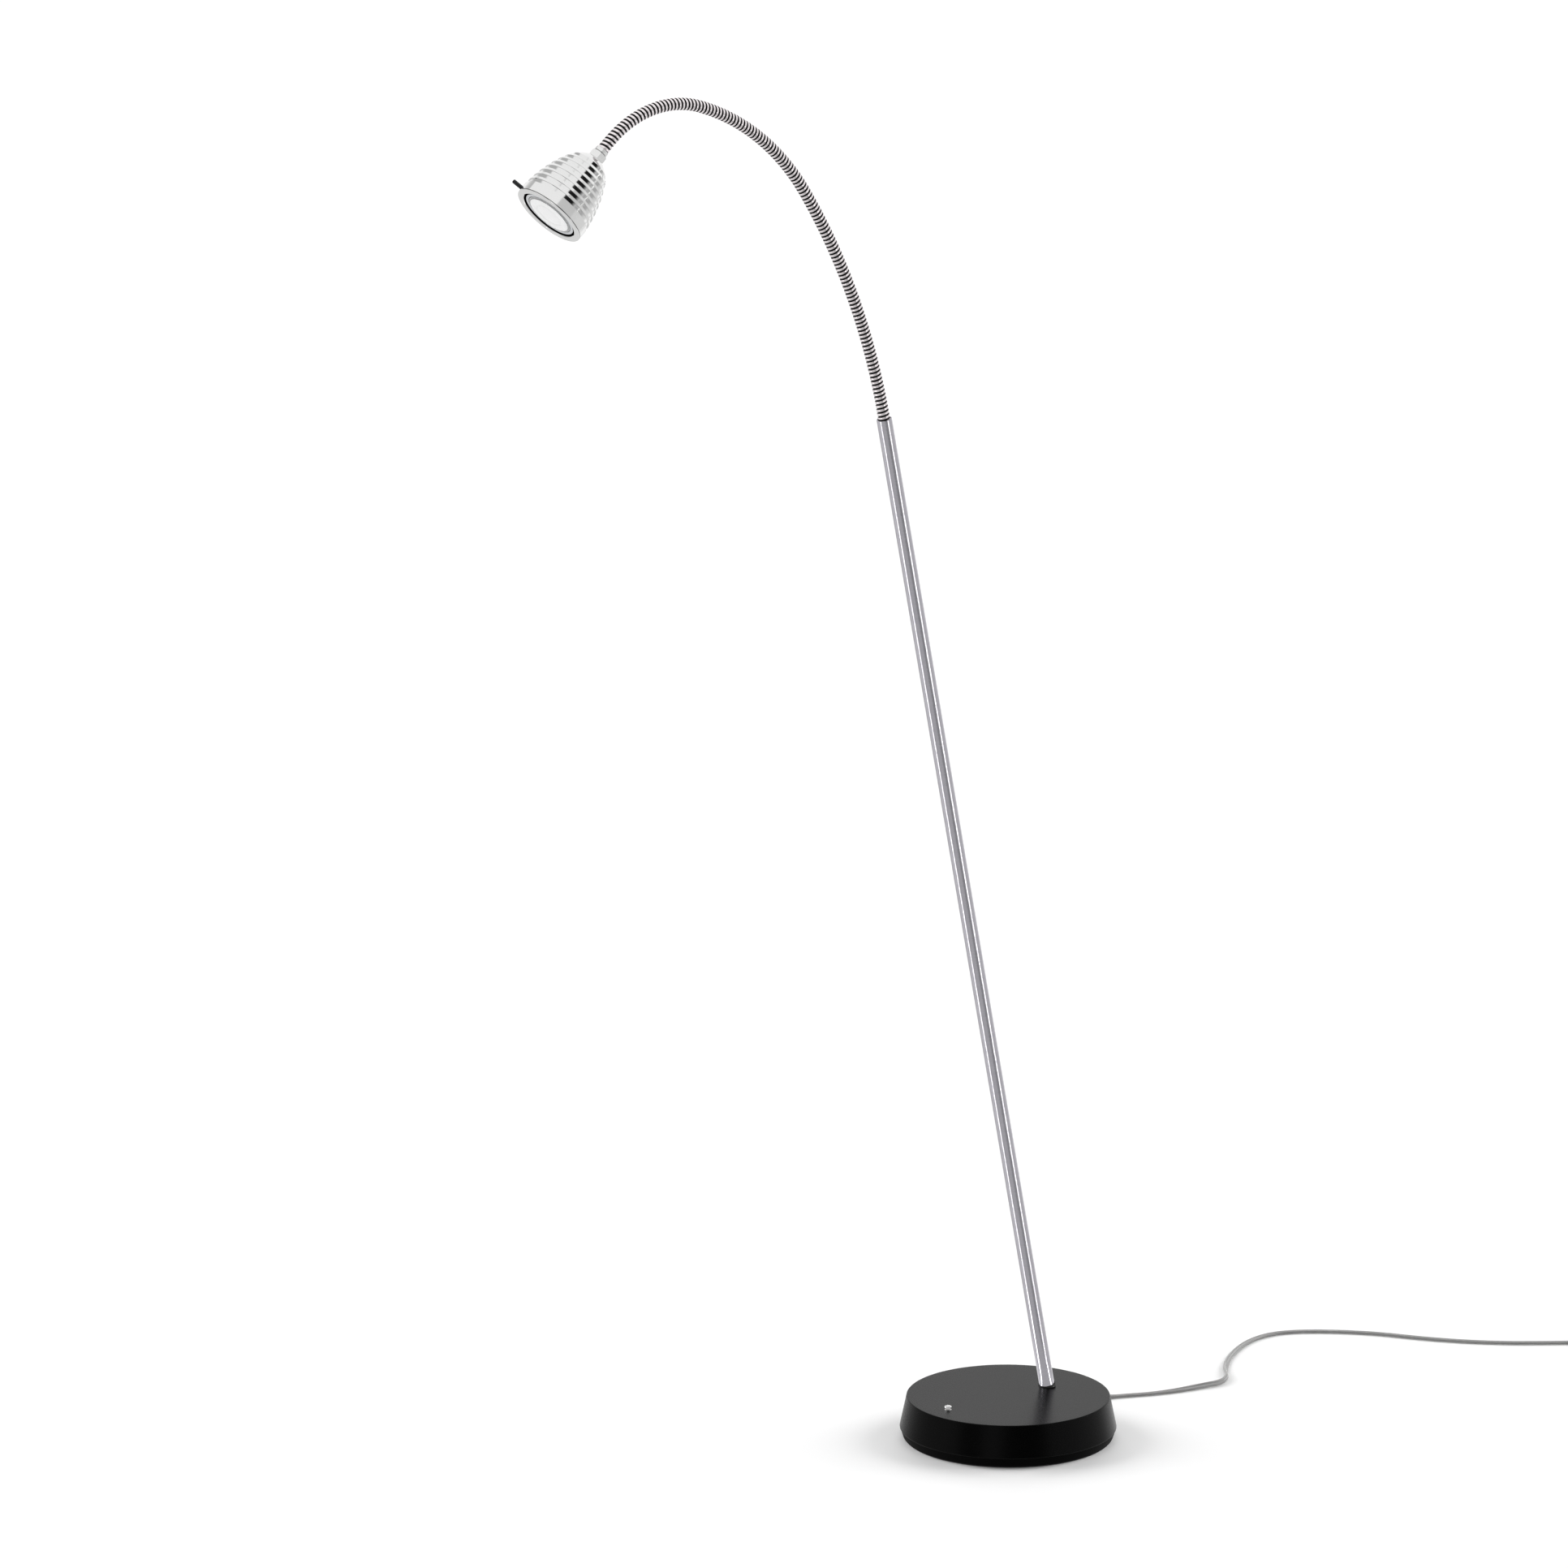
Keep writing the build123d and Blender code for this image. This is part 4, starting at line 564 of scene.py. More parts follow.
copper, tree, shader, where = finish_of("lacquered_copper", "#8a4a24", 0.3, 0.8)
rings = {"Vector": where, "Scale": 1 / (20 * MM), "Distortion": 1.5}
turns = add(tree, "ShaderNodeTexWave", rings, wave_type="RINGS").outputs[0]
bump = add(tree, "ShaderNodeBump", {"Height": turns, "Distance": 0.4 * MM})
tree.links.new(bump.outputs[0], shader.inputs["Normal"])
shades = {0: turns, 6: linear("#6f3918"), 7: linear("#a35c30")}
tree.links.new(add(tree, "ShaderNodeMix", shades, data_type="RGBA").outputs[2], shader.inputs["Base Color"])

# %% [markdown]
# ## The flex
# A clear flat twin flex leaves the back of the base, comes down to the floor and wanders off in a
# loose S. Its put-away length lies in a neat coil outside the picture, with its plug beside it. The
# line is one smooth spline. Up to the coil, its control points have the x and y of the engineering
# model's route, apart from the first four, which lie 2 to 4 mm beside it.

# %% The cord's route
CORD_WIDTH = 5.6
CORD_THICKNESS = 2.8
CORE_OFFSET = (CORD_WIDTH - CORD_THICKNESS) / 2  # from its middle to each core
STRAND_RADIUS = 0.75
GROOVE_HALF = 0.95  # half the thickness between the cores
LYING = CORD_THICKNESS / 2 + 0.1  # height of its middle where it lies flat
GLAND = math.radians(105.0)
GLAND_OUT = Vector((math.cos(GLAND), math.sin(GLAND), 0))
BOOT_TIP = GLAND_OUT * 120.0 + Vector((0, 0, 7.0))
FLOOR_ROUTE = (
    (-30.0, 147.0, 0),
    (-22.0, 165.0, 0),
    (-12.5, 185.5, 0),
    (-4.5, 211.0, 15),
    (0.5, 236.0, 55),
    (3.5, 254.0, 90),
    (-5.0, 270.0, 90),
    (-19.0, 280.0, 60),
    (-37.0, 295.0, 15),
    (-54.0, 314.0, 0),
    (-69.0, 336.0, 0),
    (-81.0, 359.0, 0),
    (-87.0, 382.0, 0),
    (-85.0, 404.0, 0),
    (-73.0, 426.0, 0),
    (-54.0, 449.0, 0),
    (-24.0, 476.0, 0),
    (11.0, 497.0, 0),
    (44.0, 522.0, 0),
    (73.0, 551.0, 0),
    (98.0, 584.0, 0),
    (122.0, 617.0, 0),
    (141.0, 652.0, 0),
)  # x, y and how far the flat flex is turned on edge, in degrees
FIRST_STEP = GLAND_OUT * 14.0 - Vector((0, 0, 1.5))  # the stiff flex leaves the boot nearly level
route = [(BOOT_TIP, 0), (BOOT_TIP + FIRST_STEP, 0)]
for x, y, tilt in FLOOR_ROUTE:
    route.append((Vector((x, y, LYING + CORE_OFFSET * math.sin(math.radians(tilt)))), tilt))

# %% [markdown]
# The coil is a flat spiral in, one half turn up, and a spiral out on top. Every half turn has its own
# centre and radius, so the turns lie beside each other a little more than a cord's width apart.

# %% The put-away coil
LOOP_RADIUS = 40.5
LOOP_PITCH = 6.3
LOWER, UPPER = 2.3, 5.3  # heights of the two layers, with room for the tie under them
HALF_TURNS, STEPS = 12, 8
ahead = (route[-1][0] - route[-2][0]) * Vector((1, 1, 0))
ahead.normalize()
across = Vector((ahead.y, -ahead.x, 0))
start = route[-1][0] + ahead * CORD_WIDTH
position, radius, way, height = 0.0, LOOP_RADIUS, 1, LOWER
for half in range(HALF_TURNS):
    climb = UPPER - LOWER if half == HALF_TURNS // 2 else 0.0
    centre = position + radius * way
    for step in range(0 if half == 0 else 1, STEPS + 1):
        turn = math.pi * step / STEPS
        out = across * (centre - radius * way * math.cos(turn)) + ahead * (radius * way * math.sin(turn))
        z = height + climb * turn / math.pi
        route.append((Vector((start.x, start.y, z)) + out, 0))
    position += 2 * radius * way
    height += climb
    radius += -LOOP_PITCH / 2 if half < HALF_TURNS // 2 else LOOP_PITCH / 2
    way = -way
loops_centre = start + across * LOOP_RADIUS
route.append((route[-1][0] + ahead * 20.6, 0))
for angle, z in ((55, 6.0), (80, 6.85), (105, 6.85)):
    around = across * -math.cos(math.radians(angle)) + ahead * math.sin(math.radians(angle))
    route.append((Vector((loops_centre.x, loops_centre.y, z)) + around * (LOOP_RADIUS + 12.0), 0))
PLUG_REAR = route[-1][0]
plug_way = (PLUG_REAR - route[-2][0]).normalized()
print("route points", len(route))

# %% [markdown]
# The spline is made once and given two outlines in turn: a figure of eight for the clear jacket, and
# two small circles for the strands inside it. Each is turned into a mesh, and the line itself is read
# back from the spline for the frame's own test of length and thickness.

# %% The jacket and its strands
def route_curve(name):
    """One smooth open spline through the route, flat side down."""
    bpy.ops.object.select_all(action="DESELECT")
    bpy.ops.curve.primitive_nurbs_curve_add()
    made = bpy.context.object
    made.name = name
    curve = made.data
    curve.dimensions = "3D"
    curve.twist_mode = "Z_UP"
    curve.resolution_u = 6
    curve.splines.clear()
    spline = curve.splines.new("NURBS")
    spline.points.add(len(route) - 1)
    for point, (where_to, tilt) in zip(spline.points, route):
        point.co = (*(where_to * MM), 1.0)
        point.tilt = math.radians(tilt)
    spline.order_u = 3
    spline.use_endpoint_u = True
    made.matrix_world = Matrix.Identity(4)
    return made


def outline(name, circles, sides):
    """A curve of one or two circles across the cord, to sweep along the spline."""
    bpy.ops.object.select_all(action="DESELECT")
    bpy.ops.curve.primitive_bezier_circle_add()
    made = bpy.context.object
    made.name = name
    made.data.splines.clear()
    for x, r in circles:
        spline = made.data.splines.new("POLY")
        spline.points.add(sides - 1)
        spline.use_cyclic_u = True
        for i, point in enumerate(spline.points):
            angle = 2 * math.pi * i / sides
            point.co = ((x + r * math.cos(angle)) * MM, r * math.sin(angle) * MM, 0, 1)
    return made


def eight_outline(name, sides=32):
    """The flat flex's outline: two rounds side by side with a shallow groove between them."""
    made = outline(name, ((0.0, 1.0),), sides)
    for i, point in enumerate(made.data.splines[0].points):
        x, y = math.cos(2 * math.pi * i / sides), math.sin(2 * math.pi * i / sides)
        off_core = x * CORD_WIDTH / 2 - math.copysign(CORE_OFFSET, x)
        over_core = math.sqrt(max(0.0, (CORD_THICKNESS / 2) ** 2 - off_core**2))
        height = y * 2.6 if abs(y) <= 0.25 else math.copysign(max(over_core, GROOVE_HALF), y)
        point.co = (x * CORD_WIDTH / 2 * MM, height * MM, 0, 1)
    return made


def swept(name, profile):
    """Sweeps an outline along the route and leaves a closed mesh."""
    made = route_curve(name)
    made.data.bevel_mode = "OBJECT"
    made.data.bevel_object = profile
    made.data.use_fill_caps = True
    only(made)
    bpy.ops.object.convert(target="MESH")
    bpy.data.objects.remove(profile)
    edit(made)
    weld(0.0005)
    bpy.ops.object.shade_smooth()
    return made


line_curve = route_curve("cord_line")
bpy.context.view_layer.update()
line_mesh = bpy.data.meshes.new_from_object(line_curve)
bpy.data.objects.remove(line_curve)

flex = swept("flex_jacket", eight_outline("flex_outline"))
paint(flex, clear_pvc)
cores = [(side * CORE_OFFSET, STRAND_RADIUS) for side in (-1, 1)]
flex_strands = swept("flex_strands", outline("strand_outline", cores, 10))
paint(flex_strands, strands)

# %% [markdown]
# ## The plug
# A flat two-pin plug with a tapered grip, moulded round the flex. A box is drawn in towards the flex,
# given a waist for the fingers, and then rounded all over.

# %% Plug and pins
UP = Vector((0, 0, 1))
PLUG_WIDTH, PLUG_LENGTH, PLUG_HEIGHT = 35.3, 36.0, 13.7
PIN_SIDE, PIN_RADIUS, PIN_LENGTH = 9.3, 2.0, 19.0
on_plug = standing(PLUG_REAR, Vector((plug_way.y, -plug_way.x, 0)), plug_way, UP)
plug = block("flex_plug", (PLUG_WIDTH, PLUG_LENGTH, PLUG_HEIGHT), (0, PLUG_LENGTH / 2, 0))
edit(plug)
bpy.ops.mesh.subdivide(number_cuts=7)
done()
for v in plug.data.vertices:
    y = v.co.y / MM
    wide = 7.0 + 10.65 * min(1.0, max(0.0, y / 27.0)) ** 1.4
    v.co.x *= wide / (PLUG_WIDTH / 2)
    grip = 1.0 - 0.16 * math.exp(-(((y - 17.0) / 7.0) ** 2))
    v.co.z *= grip * (0.72 + 0.28 * min(1.0, y / 14.0))
bevel(plug, 2.2, 4, 50)
smooth(plug, 40)
place(plug, on_plug)
paint(plug, plug_white)

tip = [(1.6, PIN_LENGTH - 0.3), (0.9, PIN_LENGTH), (0, PIN_LENGTH)]
pins = []
for side in (-PIN_SIDE, PIN_SIDE):
    pin = turned("plug_pin", [(0, 0), (PIN_RADIUS, 0), (PIN_RADIUS, PIN_LENGTH - 1.1)] + tip, 24)
    place(pin, Matrix.Rotation(-math.pi / 2, 4, "X"))
    place(pin, on_plug @ Matrix.Translation(Vector((side, PLUG_LENGTH, 0)) * MM))
    pins.append(pin)
only(*pins)
bpy.ops.object.join()
plug_pins = bpy.context.object
plug_pins.name = "flex_plug_pins"
soften(plug_pins, 0.1)
paint(plug_pins, chrome)

# %% [markdown]
# A thin nylon band ties the coil's bundle, on the side away from the plug. It is a block with its two
# open ends taken off and a wall given to the rest.

# %% Tie
TIE_SIZE, TIE_WALL = (4.0, 20.4, 6.9), 0.6
BUNDLE_INNER, BUNDLE_OUTER, BUNDLE_MIDDLE = 24.75, 37.35, 3.55
tie = block("flex_tie", TIE_SIZE)
edit(tie, "DESELECT")
bpy.ops.mesh.select_mode(type="FACE")
done()
for face in tie.data.polygons:
    face.select = abs(face.normal.x) > 0.9
bpy.ops.object.mode_set(mode="EDIT")
bpy.ops.mesh.delete(type="FACE")
done()
modify(tie, "SOLIDIFY", thickness=TIE_WALL * MM, offset=-1.0)
soften(tie, 0.7, 3)
tie_middle = loops_centre - ahead * (BUNDLE_INNER + BUNDLE_OUTER) / 2
place(tie, standing(Vector((tie_middle.x, tie_middle.y, BUNDLE_MIDDLE)), across, ahead, UP))
paint(tie, nylon)

# %% [markdown]
# ## The base
# The cover is a steel pressing: a conical side and a flat top that meet in a small round edge, which
# catches a thin line of light. The tray closes it from below and draws in, so that the base seems to
# float on its shadow.

# %% Base cover
BASE_RADIUS = 100.0
BASE_TOP_RADIUS = 93.7
WIDEST_Z = 9.6
COVER_WALL = 2.5
COVER_TOP = 3.0
STUD_BORE, SWITCH_BORE, SWITCH_Y = 5.3, 3.25, -71.3
slope = (BASE_RADIUS - BASE_TOP_RADIUS) / (BASE_HEIGHT - WIDEST_Z)
inner = BASE_HEIGHT - COVER_TOP
on_switch = Matrix.Translation((0, SWITCH_Y * MM, 0))
cover = turned(
    "base_shell",
    [(r, BASE_HEIGHT) for r in (0, 30, 60, 86, BASE_TOP_RADIUS)]
    + [(BASE_RADIUS, WIDEST_Z), (BASE_RADIUS - COVER_WALL, WIDEST_Z)]
    + [(BASE_RADIUS - (inner - WIDEST_Z) * slope - COVER_WALL, inner), (0, inner)],
    192,
)
bevel(cover, 0.75, 4)
for radius, low, high, where_to in ((STUD_BORE, -10, 10, on_pole), (SWITCH_BORE, 30, 45, on_switch)):
    bore = bar("bore", radius, low, high)
    place(bore, where_to)
    cut(cover, bore)
smooth(cover, 35)
paint(cover, black_coat)
cover.visible_glossy = False  # the tube's foot stays bright, as in the photograph

# %% [markdown]
# The tray is a shallow dish with a spigot that the cover sits on. A notch lets the flex out, and
# countersunk holes take the screws, four round the weight and one for the transformer.

# %% Tray and felt
TRAY_LOW, TRAY_WALL, SPIGOT_HIGH = 1.5, 3.0, 13.0
SPIGOT_RADIUS = BASE_RADIUS - 3.4 * slope - COVER_WALL - 0.6
SPIGOT_BORE = SPIGOT_RADIUS - 2.7
NOTCH_SIZE, NOTCH_OUT, NOTCH_Z = (7.9, 14.0, 20.0), 97.4, 14.5
SCREW_CIRCLE, TRANSFORMER_Y = 80.0, -14.0
COUNTERSINK = [(0, 1.0), (5.6, 1.0), (5.1, 1.5), (2.8, 3.8), (2.8, 6.0), (0, 6.0)]
tray = turned(
    "base_floor",
    [(0, TRAY_LOW), (96.7, TRAY_LOW), (99.4, WIDEST_Z), (SPIGOT_RADIUS, WIDEST_Z), (SPIGOT_RADIUS, SPIGOT_HIGH)]
    + [(SPIGOT_BORE, SPIGOT_HIGH), (SPIGOT_BORE, TRAY_LOW + TRAY_WALL), (0, TRAY_LOW + TRAY_WALL)],
    192,
)
soften(tray, 0.3)
face_out = Matrix.Rotation(GLAND - math.pi / 2, 4, "Z")
notch = block("notch", NOTCH_SIZE)
place(notch, Matrix.Translation((GLAND_OUT * NOTCH_OUT + Vector((0, 0, NOTCH_Z))) * MM) @ face_out)
cut(tray, notch)
corners = [math.radians(45 + corner * 90) for corner in range(4)]
screws = [(SCREW_CIRCLE * math.cos(a), SCREW_CIRCLE * math.sin(a), 0) for a in corners]
for screw in screws + [(0, TRANSFORMER_Y, 0)]:
    hole = turned("hole", COUNTERSINK, 32)
    place(hole, Matrix.Translation(Vector(screw) * MM))
    cut(tray, hole)
paint(tray, dark_coat_and_painted_shade)

pad = turned("base_pad", [(0, 0), (95.0, 0), (95.5, 0.4), (95.5, 1.1), (95.0, 1.5), (0, 1.5)], 128)
smooth(pad, 35)
paint(pad, felt)

# %% [markdown]
# ## The strain relief
# A soft rubber boot, flat like the flex, that grips it in a notch of the tray. It is a box lofted to
# a smaller end, with five grooves across it that let it bend.

# %% Strain relief
BOOT_SIZE, BOOT_MIDDLE, BOOT_Z = (7.6, 27.0, 4.7), 106.5, 7.0
BOOT_START = BOOT_MIDDLE - BOOT_SIZE[1] / 2
boot = block("boot", BOOT_SIZE, (0, BOOT_MIDDLE, BOOT_Z))
edit(boot)
bpy.ops.mesh.subdivide(number_cuts=26)
done()
for v in boot.data.vertices:
    out = max(0.0, (v.co.y / MM - BASE_RADIUS) / 20.0)
    ring = round(v.co.y / MM - BOOT_START)
    groove = 0.88 if 9 <= ring <= 25 and ring % 4 == 1 else 1.0
    v.co.x *= (1 - 0.16 * out) * groove
    v.co.z = BOOT_Z * MM + (v.co.z - BOOT_Z * MM) * (1 - 0.19 * out) * groove
soften(boot, 0.5, 3, 50)
place(boot, face_out)
paint(boot, rubber)

# %% [markdown]
# ## The push button
# A small chromed mushroom cap in the top of the base. The cap's dome is part of an ellipse, so its
# section is worked out point by point. The spring under it is a ring of wire, screwed up.

# %% Button
CAP_LOW = BASE_HEIGHT + 1.9
CAP_RADIUS, CAP_EDGE, CAP_RISE = 3.0, 0.6, 1.3
STEM_LOW, STEM_RADIUS = 32.4, 1.8
quarter = [math.radians(a) for a in range(0, 90, 10)]
dome = [(CAP_RADIUS * math.cos(a), CAP_LOW + CAP_EDGE + CAP_RISE * math.sin(a)) for a in quarter]
button = turned(
    "button",
    [(0, STEM_LOW), (STEM_RADIUS, STEM_LOW), (STEM_RADIUS, CAP_LOW), (CAP_RADIUS - 0.3, CAP_LOW)]
    + [(CAP_RADIUS, CAP_LOW + 0.3)] + dome + [(0, CAP_LOW + CAP_EDGE + CAP_RISE)],
    48,
)
place(button, on_switch)
smooth(button, 40)
paint(button, chrome)

# %% Spring
WIRE_RADIUS, COIL_RADIUS, COIL_TURNS = 0.35, 2.6, 4
bpy.ops.object.select_all(action="DESELECT")
bpy.ops.mesh.primitive_circle_add(
    vertices=10, radius=WIRE_RADIUS * MM, location=(COIL_RADIUS * MM, 0, 0), rotation=(math.pi / 2, 0, 0)
)
spring = bpy.context.object
spring.name = "button_spring"
bpy.ops.object.transform_apply(location=True, rotation=True, scale=True)
spring_low, spring_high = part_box("switch_spring")
rise = (spring_high.z - spring_low.z - 2 * WIRE_RADIUS * MM) / COIL_TURNS
modify(spring, "SCREW", screw_offset=rise, iterations=COIL_TURNS, steps=24, render_steps=24, use_normal_calculate=True)
edit(spring, "DESELECT")
bpy.ops.mesh.select_non_manifold()
bpy.ops.mesh.edge_face_add()
bpy.ops.mesh.select_all(action="SELECT")
bpy.ops.mesh.normals_make_consistent(inside=False)
done()
place(spring, Matrix.Translation((0, SWITCH_Y * MM, spring_low.z + WIRE_RADIUS * MM)))
only(spring)
bpy.ops.object.shade_smooth()
paint(spring, zinc)

# %% [markdown]
# ## The tube and its seat
# A black wedge turns the base's level top into a seat that is square to the leaning tube. The tube is
# cut square at both ends, with the sharp edge taken off.

# %% Seat and tube
SEAT_RADIUS, TUBE_WALL, TUBE_STEPS = 8.0, 1.0, 40
seat = bar("seat", SEAT_RADIUS, -TUBE_RISE - 2 * SEAT_LIP, TUBE_RISE, 64)
cut(seat, bar("bore", STUD_BORE, -20, 20))
place(seat, on_pole)
edit(seat)
bpy.ops.mesh.bisect(plane_co=(0, 0, BASE_HEIGHT * MM), plane_no=(0, 0, 1), use_fill=True, clear_inner=True)
done()
soften(seat, 0.2)
paint(seat, rubber)

tube_top, bore_radius = TUBE_RISE + POLE_LENGTH, POLE_RADIUS - TUBE_WALL
tube = turned(
    "tube",
    [(POLE_RADIUS, TUBE_RISE + POLE_LENGTH * i / TUBE_STEPS) for i in range(TUBE_STEPS + 1)]
    + [(bore_radius, tube_top), (bore_radius, TUBE_RISE)],
    64,
)
soften(tube, 0.25)
place(tube, on_pole)
paint(tube, steel_tube)

# %% [markdown]
# ## The gooseneck
# It is a steel strip wound round a spring, so its outside is one long screw of low, rounded ribs with
# a dark line between them. One rib's section is screwed up into a straight length, which is then cut
# into pieces and bent along the neck's line. Each piece spans one pivot of the frame and meets its
# neighbours.

# %% A straight length of gooseneck
PITCH = 3.85
RIB = (  # radius and height, over one turn
    (4.4, 0.0),
    (4.4, 0.66),
    (5.2, 0.73),
    (5.42, 0.94),
    (5.5, 1.32),
    (5.5, 2.53),
    (5.42, 2.91),
    (5.2, 3.12),
    (4.4, 3.19),
    (4.4, 3.85),
)
# faces inside this radius get the near-black painted shade of the gap
GAP_RADIUS = 5.45  # faces inside it lie in the dark gap between two ribs
ROUND_STEPS = 36
stock = chain("gooseneck_stock", [(r, z - 2 * PITCH) for r, z in RIB])
done()
TURNS = math.ceil((NECK_IN_TUBE + NECK_LENGTH) / PITCH) + 3
modify(
    stock, "SCREW", screw_offset=PITCH * MM, iterations=TURNS, steps=ROUND_STEPS, render_steps=ROUND_STEPS,
    use_merge_vertices=True, merge_threshold=0.001 * MM, use_smooth_shade=True,
)
edit(stock)
weld()
# painted shade: the faces in the gaps between the ribs are painted near-black
paint(stock, wound_steel, gap_painted_shade)
for face in stock.data.polygons:
    if face_radius(stock, face) < GAP_RADIUS:
        face.material_index = 1
print("gooseneck stock", len(stock.data.polygons), "faces")

# %% [markdown]
# The neck's line is a Bezier curve through the ends of its arcs. An arc of angle t and radius r is
# drawn by handles of length 4/3 tan(t/4) r, so each arc is split in two and drawn nearly exactly.

# %% The neck's line
bpy.ops.object.select_all(action="DESELECT")
bpy.ops.curve.primitive_bezier_curve_add()
neck_line = bpy.context.object
neck_line.name = "neck_line"
neck_line.data.dimensions = "3D"
neck_line.data.twist_mode = "Z_UP"
neck_line.data.resolution_u = 64
spans = [(-NECK_IN_TUBE, NECK_IN_TUBE / 3)]
at = 0.0
for length, turn in NECK_BENDS:
    reach = 4 / 3 * math.tan(math.radians(turn) / 8) * length / math.radians(turn)
    spans += [(at, reach), (at + length / 2, reach)]
    at += length
spans.append((at, NECK_STRAIGHT / 3))
stops = [s for s, reach in spans] + [NECK_LENGTH]
reaches = [reach for s, reach in spans]
neck_line.data.splines.clear()
spline = neck_line.data.splines.new("BEZIER")
spline.bezier_points.add(len(stops) - 1)
for i, (point, s) in enumerate(zip(spline.bezier_points, stops)):
    here, heading = neck_frame(s)
    point.handle_left_type = point.handle_right_type = "FREE"
    point.co = here * MM
    point.handle_left = (here - heading * (reaches[i - 1] if i else 1.0)) * MM
    point.handle_right = (here + heading * (reaches[i] if i < len(reaches) else 1.0)) * MM
neck_line.matrix_world = Matrix.Identity(4)
bpy.context.view_layer.update()

# %% [markdown]
# The pivots of the frame stand where the engineering model has them: seven are placed evenly by how
# far the neck has turned, and five more are put into the middle of the longest stretches left.

# %% Cut the stock at the middle of each stretch and bend it
EVEN_PIVOTS, FILL_PIVOTS = 7, 5
NECK_TURN = sum(turn for length, turn in NECK_BENDS)
pivots = []
for i in range(EVEN_PIVOTS):
    target, s = (i + 0.5) * NECK_TURN / EVEN_PIVOTS, 0.0
    for length, turn in NECK_BENDS:
        if target <= turn:
            pivots.append(s + length * target / turn)
            break
        target -= turn
        s += length
for i in range(FILL_PIVOTS):
    marks = [0.0] + pivots + [NECK_LENGTH]
    widest = max((b - a, (a + b) / 2) for a, b in zip(marks, marks[1:]))
    pivots = sorted(pivots + [widest[1]])
ends = [-NECK_IN_TUBE] + pivots + [NECK_LENGTH]
middles = [-NECK_IN_TUBE] + [(a + b) / 2 for a, b in zip(ends, ends[1:])] + [NECK_LENGTH]
neck_pieces = []
for i, stretch in enumerate(zip(middles, middles[1:])):
    only(stock)
    bpy.ops.object.duplicate()
    piece = bpy.context.object
    piece.name = f"gooseneck_{i}"
    edit(piece)
    for s, side in zip(stretch, ("clear_inner", "clear_outer")):
        bpy.ops.mesh.select_all(action="SELECT")
        level = (0, 0, (s + NECK_IN_TUBE) * MM)
        bpy.ops.mesh.bisect(plane_co=level, plane_no=(0, 0, 1), use_fill=True, **{side: True})
    done()
    modify(piece, "CURVE", object=neck_line, deform_axis="POS_Z")
    only(piece)
    bpy.ops.object.shade_smooth_by_angle(angle=math.radians(60))
    neck_pieces.append(piece)
bpy.data.objects.remove(stock)
bpy.data.objects.remove(neck_line)
print("gooseneck pieces", len(neck_pieces), "pivots", [round(s, 1) for s in pivots])

# %% [markdown]
# ## The head's swivel
# The gooseneck ends in a plain ferrule, and a hexagon nut behind the head turns on the ferrule's
# spindle. The nut is a six-sided bar, trimmed by a turned blank to get its chamfer.

# %% Ferrule and nut
ferrule = turned(
    "ferrule",
    [(0, 0), (6.0, 0), (6.3, 0.3), (6.3, 3.3), (6.0, 3.6), (4.0, 3.6), (4.0, 20.7), (3.7, 21.0), (0, 21.0)],
    64,
)
smooth(ferrule, 30)
place(ferrule, on_head)
paint(ferrule, polished)

NUT_START, HEAD_NUT_END, NUT_FLATS, NUT_CHAMFER = 3.9, 11.5, 14.2, (2.4, 1.2)
SPINDLE_HOLE = 4.1
corner = NUT_FLATS / 2 / math.cos(math.radians(30))
nut = bar("nut", corner, NUT_START, HEAD_NUT_END, 6)
blank_edge = [(corner - NUT_CHAMFER[0], NUT_START), (corner + 0.01, NUT_START + NUT_CHAMFER[1])]
blank = turned(
    "blank", [(0, NUT_START)] + blank_edge + [(corner + 0.01, HEAD_NUT_END), (0, HEAD_NUT_END)], 96
)
cut(nut, blank, "INTERSECT")
cut(nut, bar("bore", SPINDLE_HOLE, 0, 20))
soften(nut, 0.18, 2, 25)
place(nut, on_head)
paint(nut, polished)

# %% [markdown]
# ## The head
# The head was turned from a solid bar: a plain band at the front, then a bell that draws in on two
# arcs, with eight square cooling grooves. Its section is written as points along those arcs that
# step down into each groove, and a bevel then breaks every edge, which draws the thin bright lines.

# %% The bell's section
HEAD_LENGTH = 77.5
BAND_RADIUS = 33.4
BELL_START = HEAD_LENGTH - 12.2
BELL_START_RADIUS = 33.2
BELL_ARCS = (2.212 * (BELL_START - HEAD_NUT_END), 0.762 * (BELL_START - HEAD_NUT_END))
BELL_SLOPES = (5.7, 24.2, 54.0)
BELL_WALL = 3.4
FIN_PITCH, FIN_GROOVES, GROOVE_WIDTH, GROOVE_DEPTH = 6.33, 8, 3.9, 2.2
GROOVE_RISE = 0.9  # the tool leaves the floor a little conical


def bell_point(arc, degrees, inset=0.0):
    """(radius, height) on one of the bell's arcs, where it lies some degrees off the axis."""
    first, join = (math.radians(a) for a in BELL_SLOPES[:2])
    front, rear = BELL_ARCS
    centre_r = BELL_START_RADIUS - front * math.cos(first)
    centre_w = BELL_START + front * math.sin(first)
    radius = front
    if arc == 1:
        centre_r += (front - rear) * math.cos(join)
        centre_w -= (front - rear) * math.sin(join)
        radius = rear
    angle = math.radians(degrees)
    return centre_r + (radius - inset) * math.cos(angle), centre_w - (radius - inset) * math.sin(angle)


def bell_curve(inset, count=14):
    """Points along both arcs, from the band to the rear."""
    first, join, last = BELL_SLOPES
    points = [bell_point(0, first + (join - first) * i / count, inset) for i in range(count + 1)]
    return points + [bell_point(1, join + (last - join) * i / count, inset) for i in range(1, count + 1)]


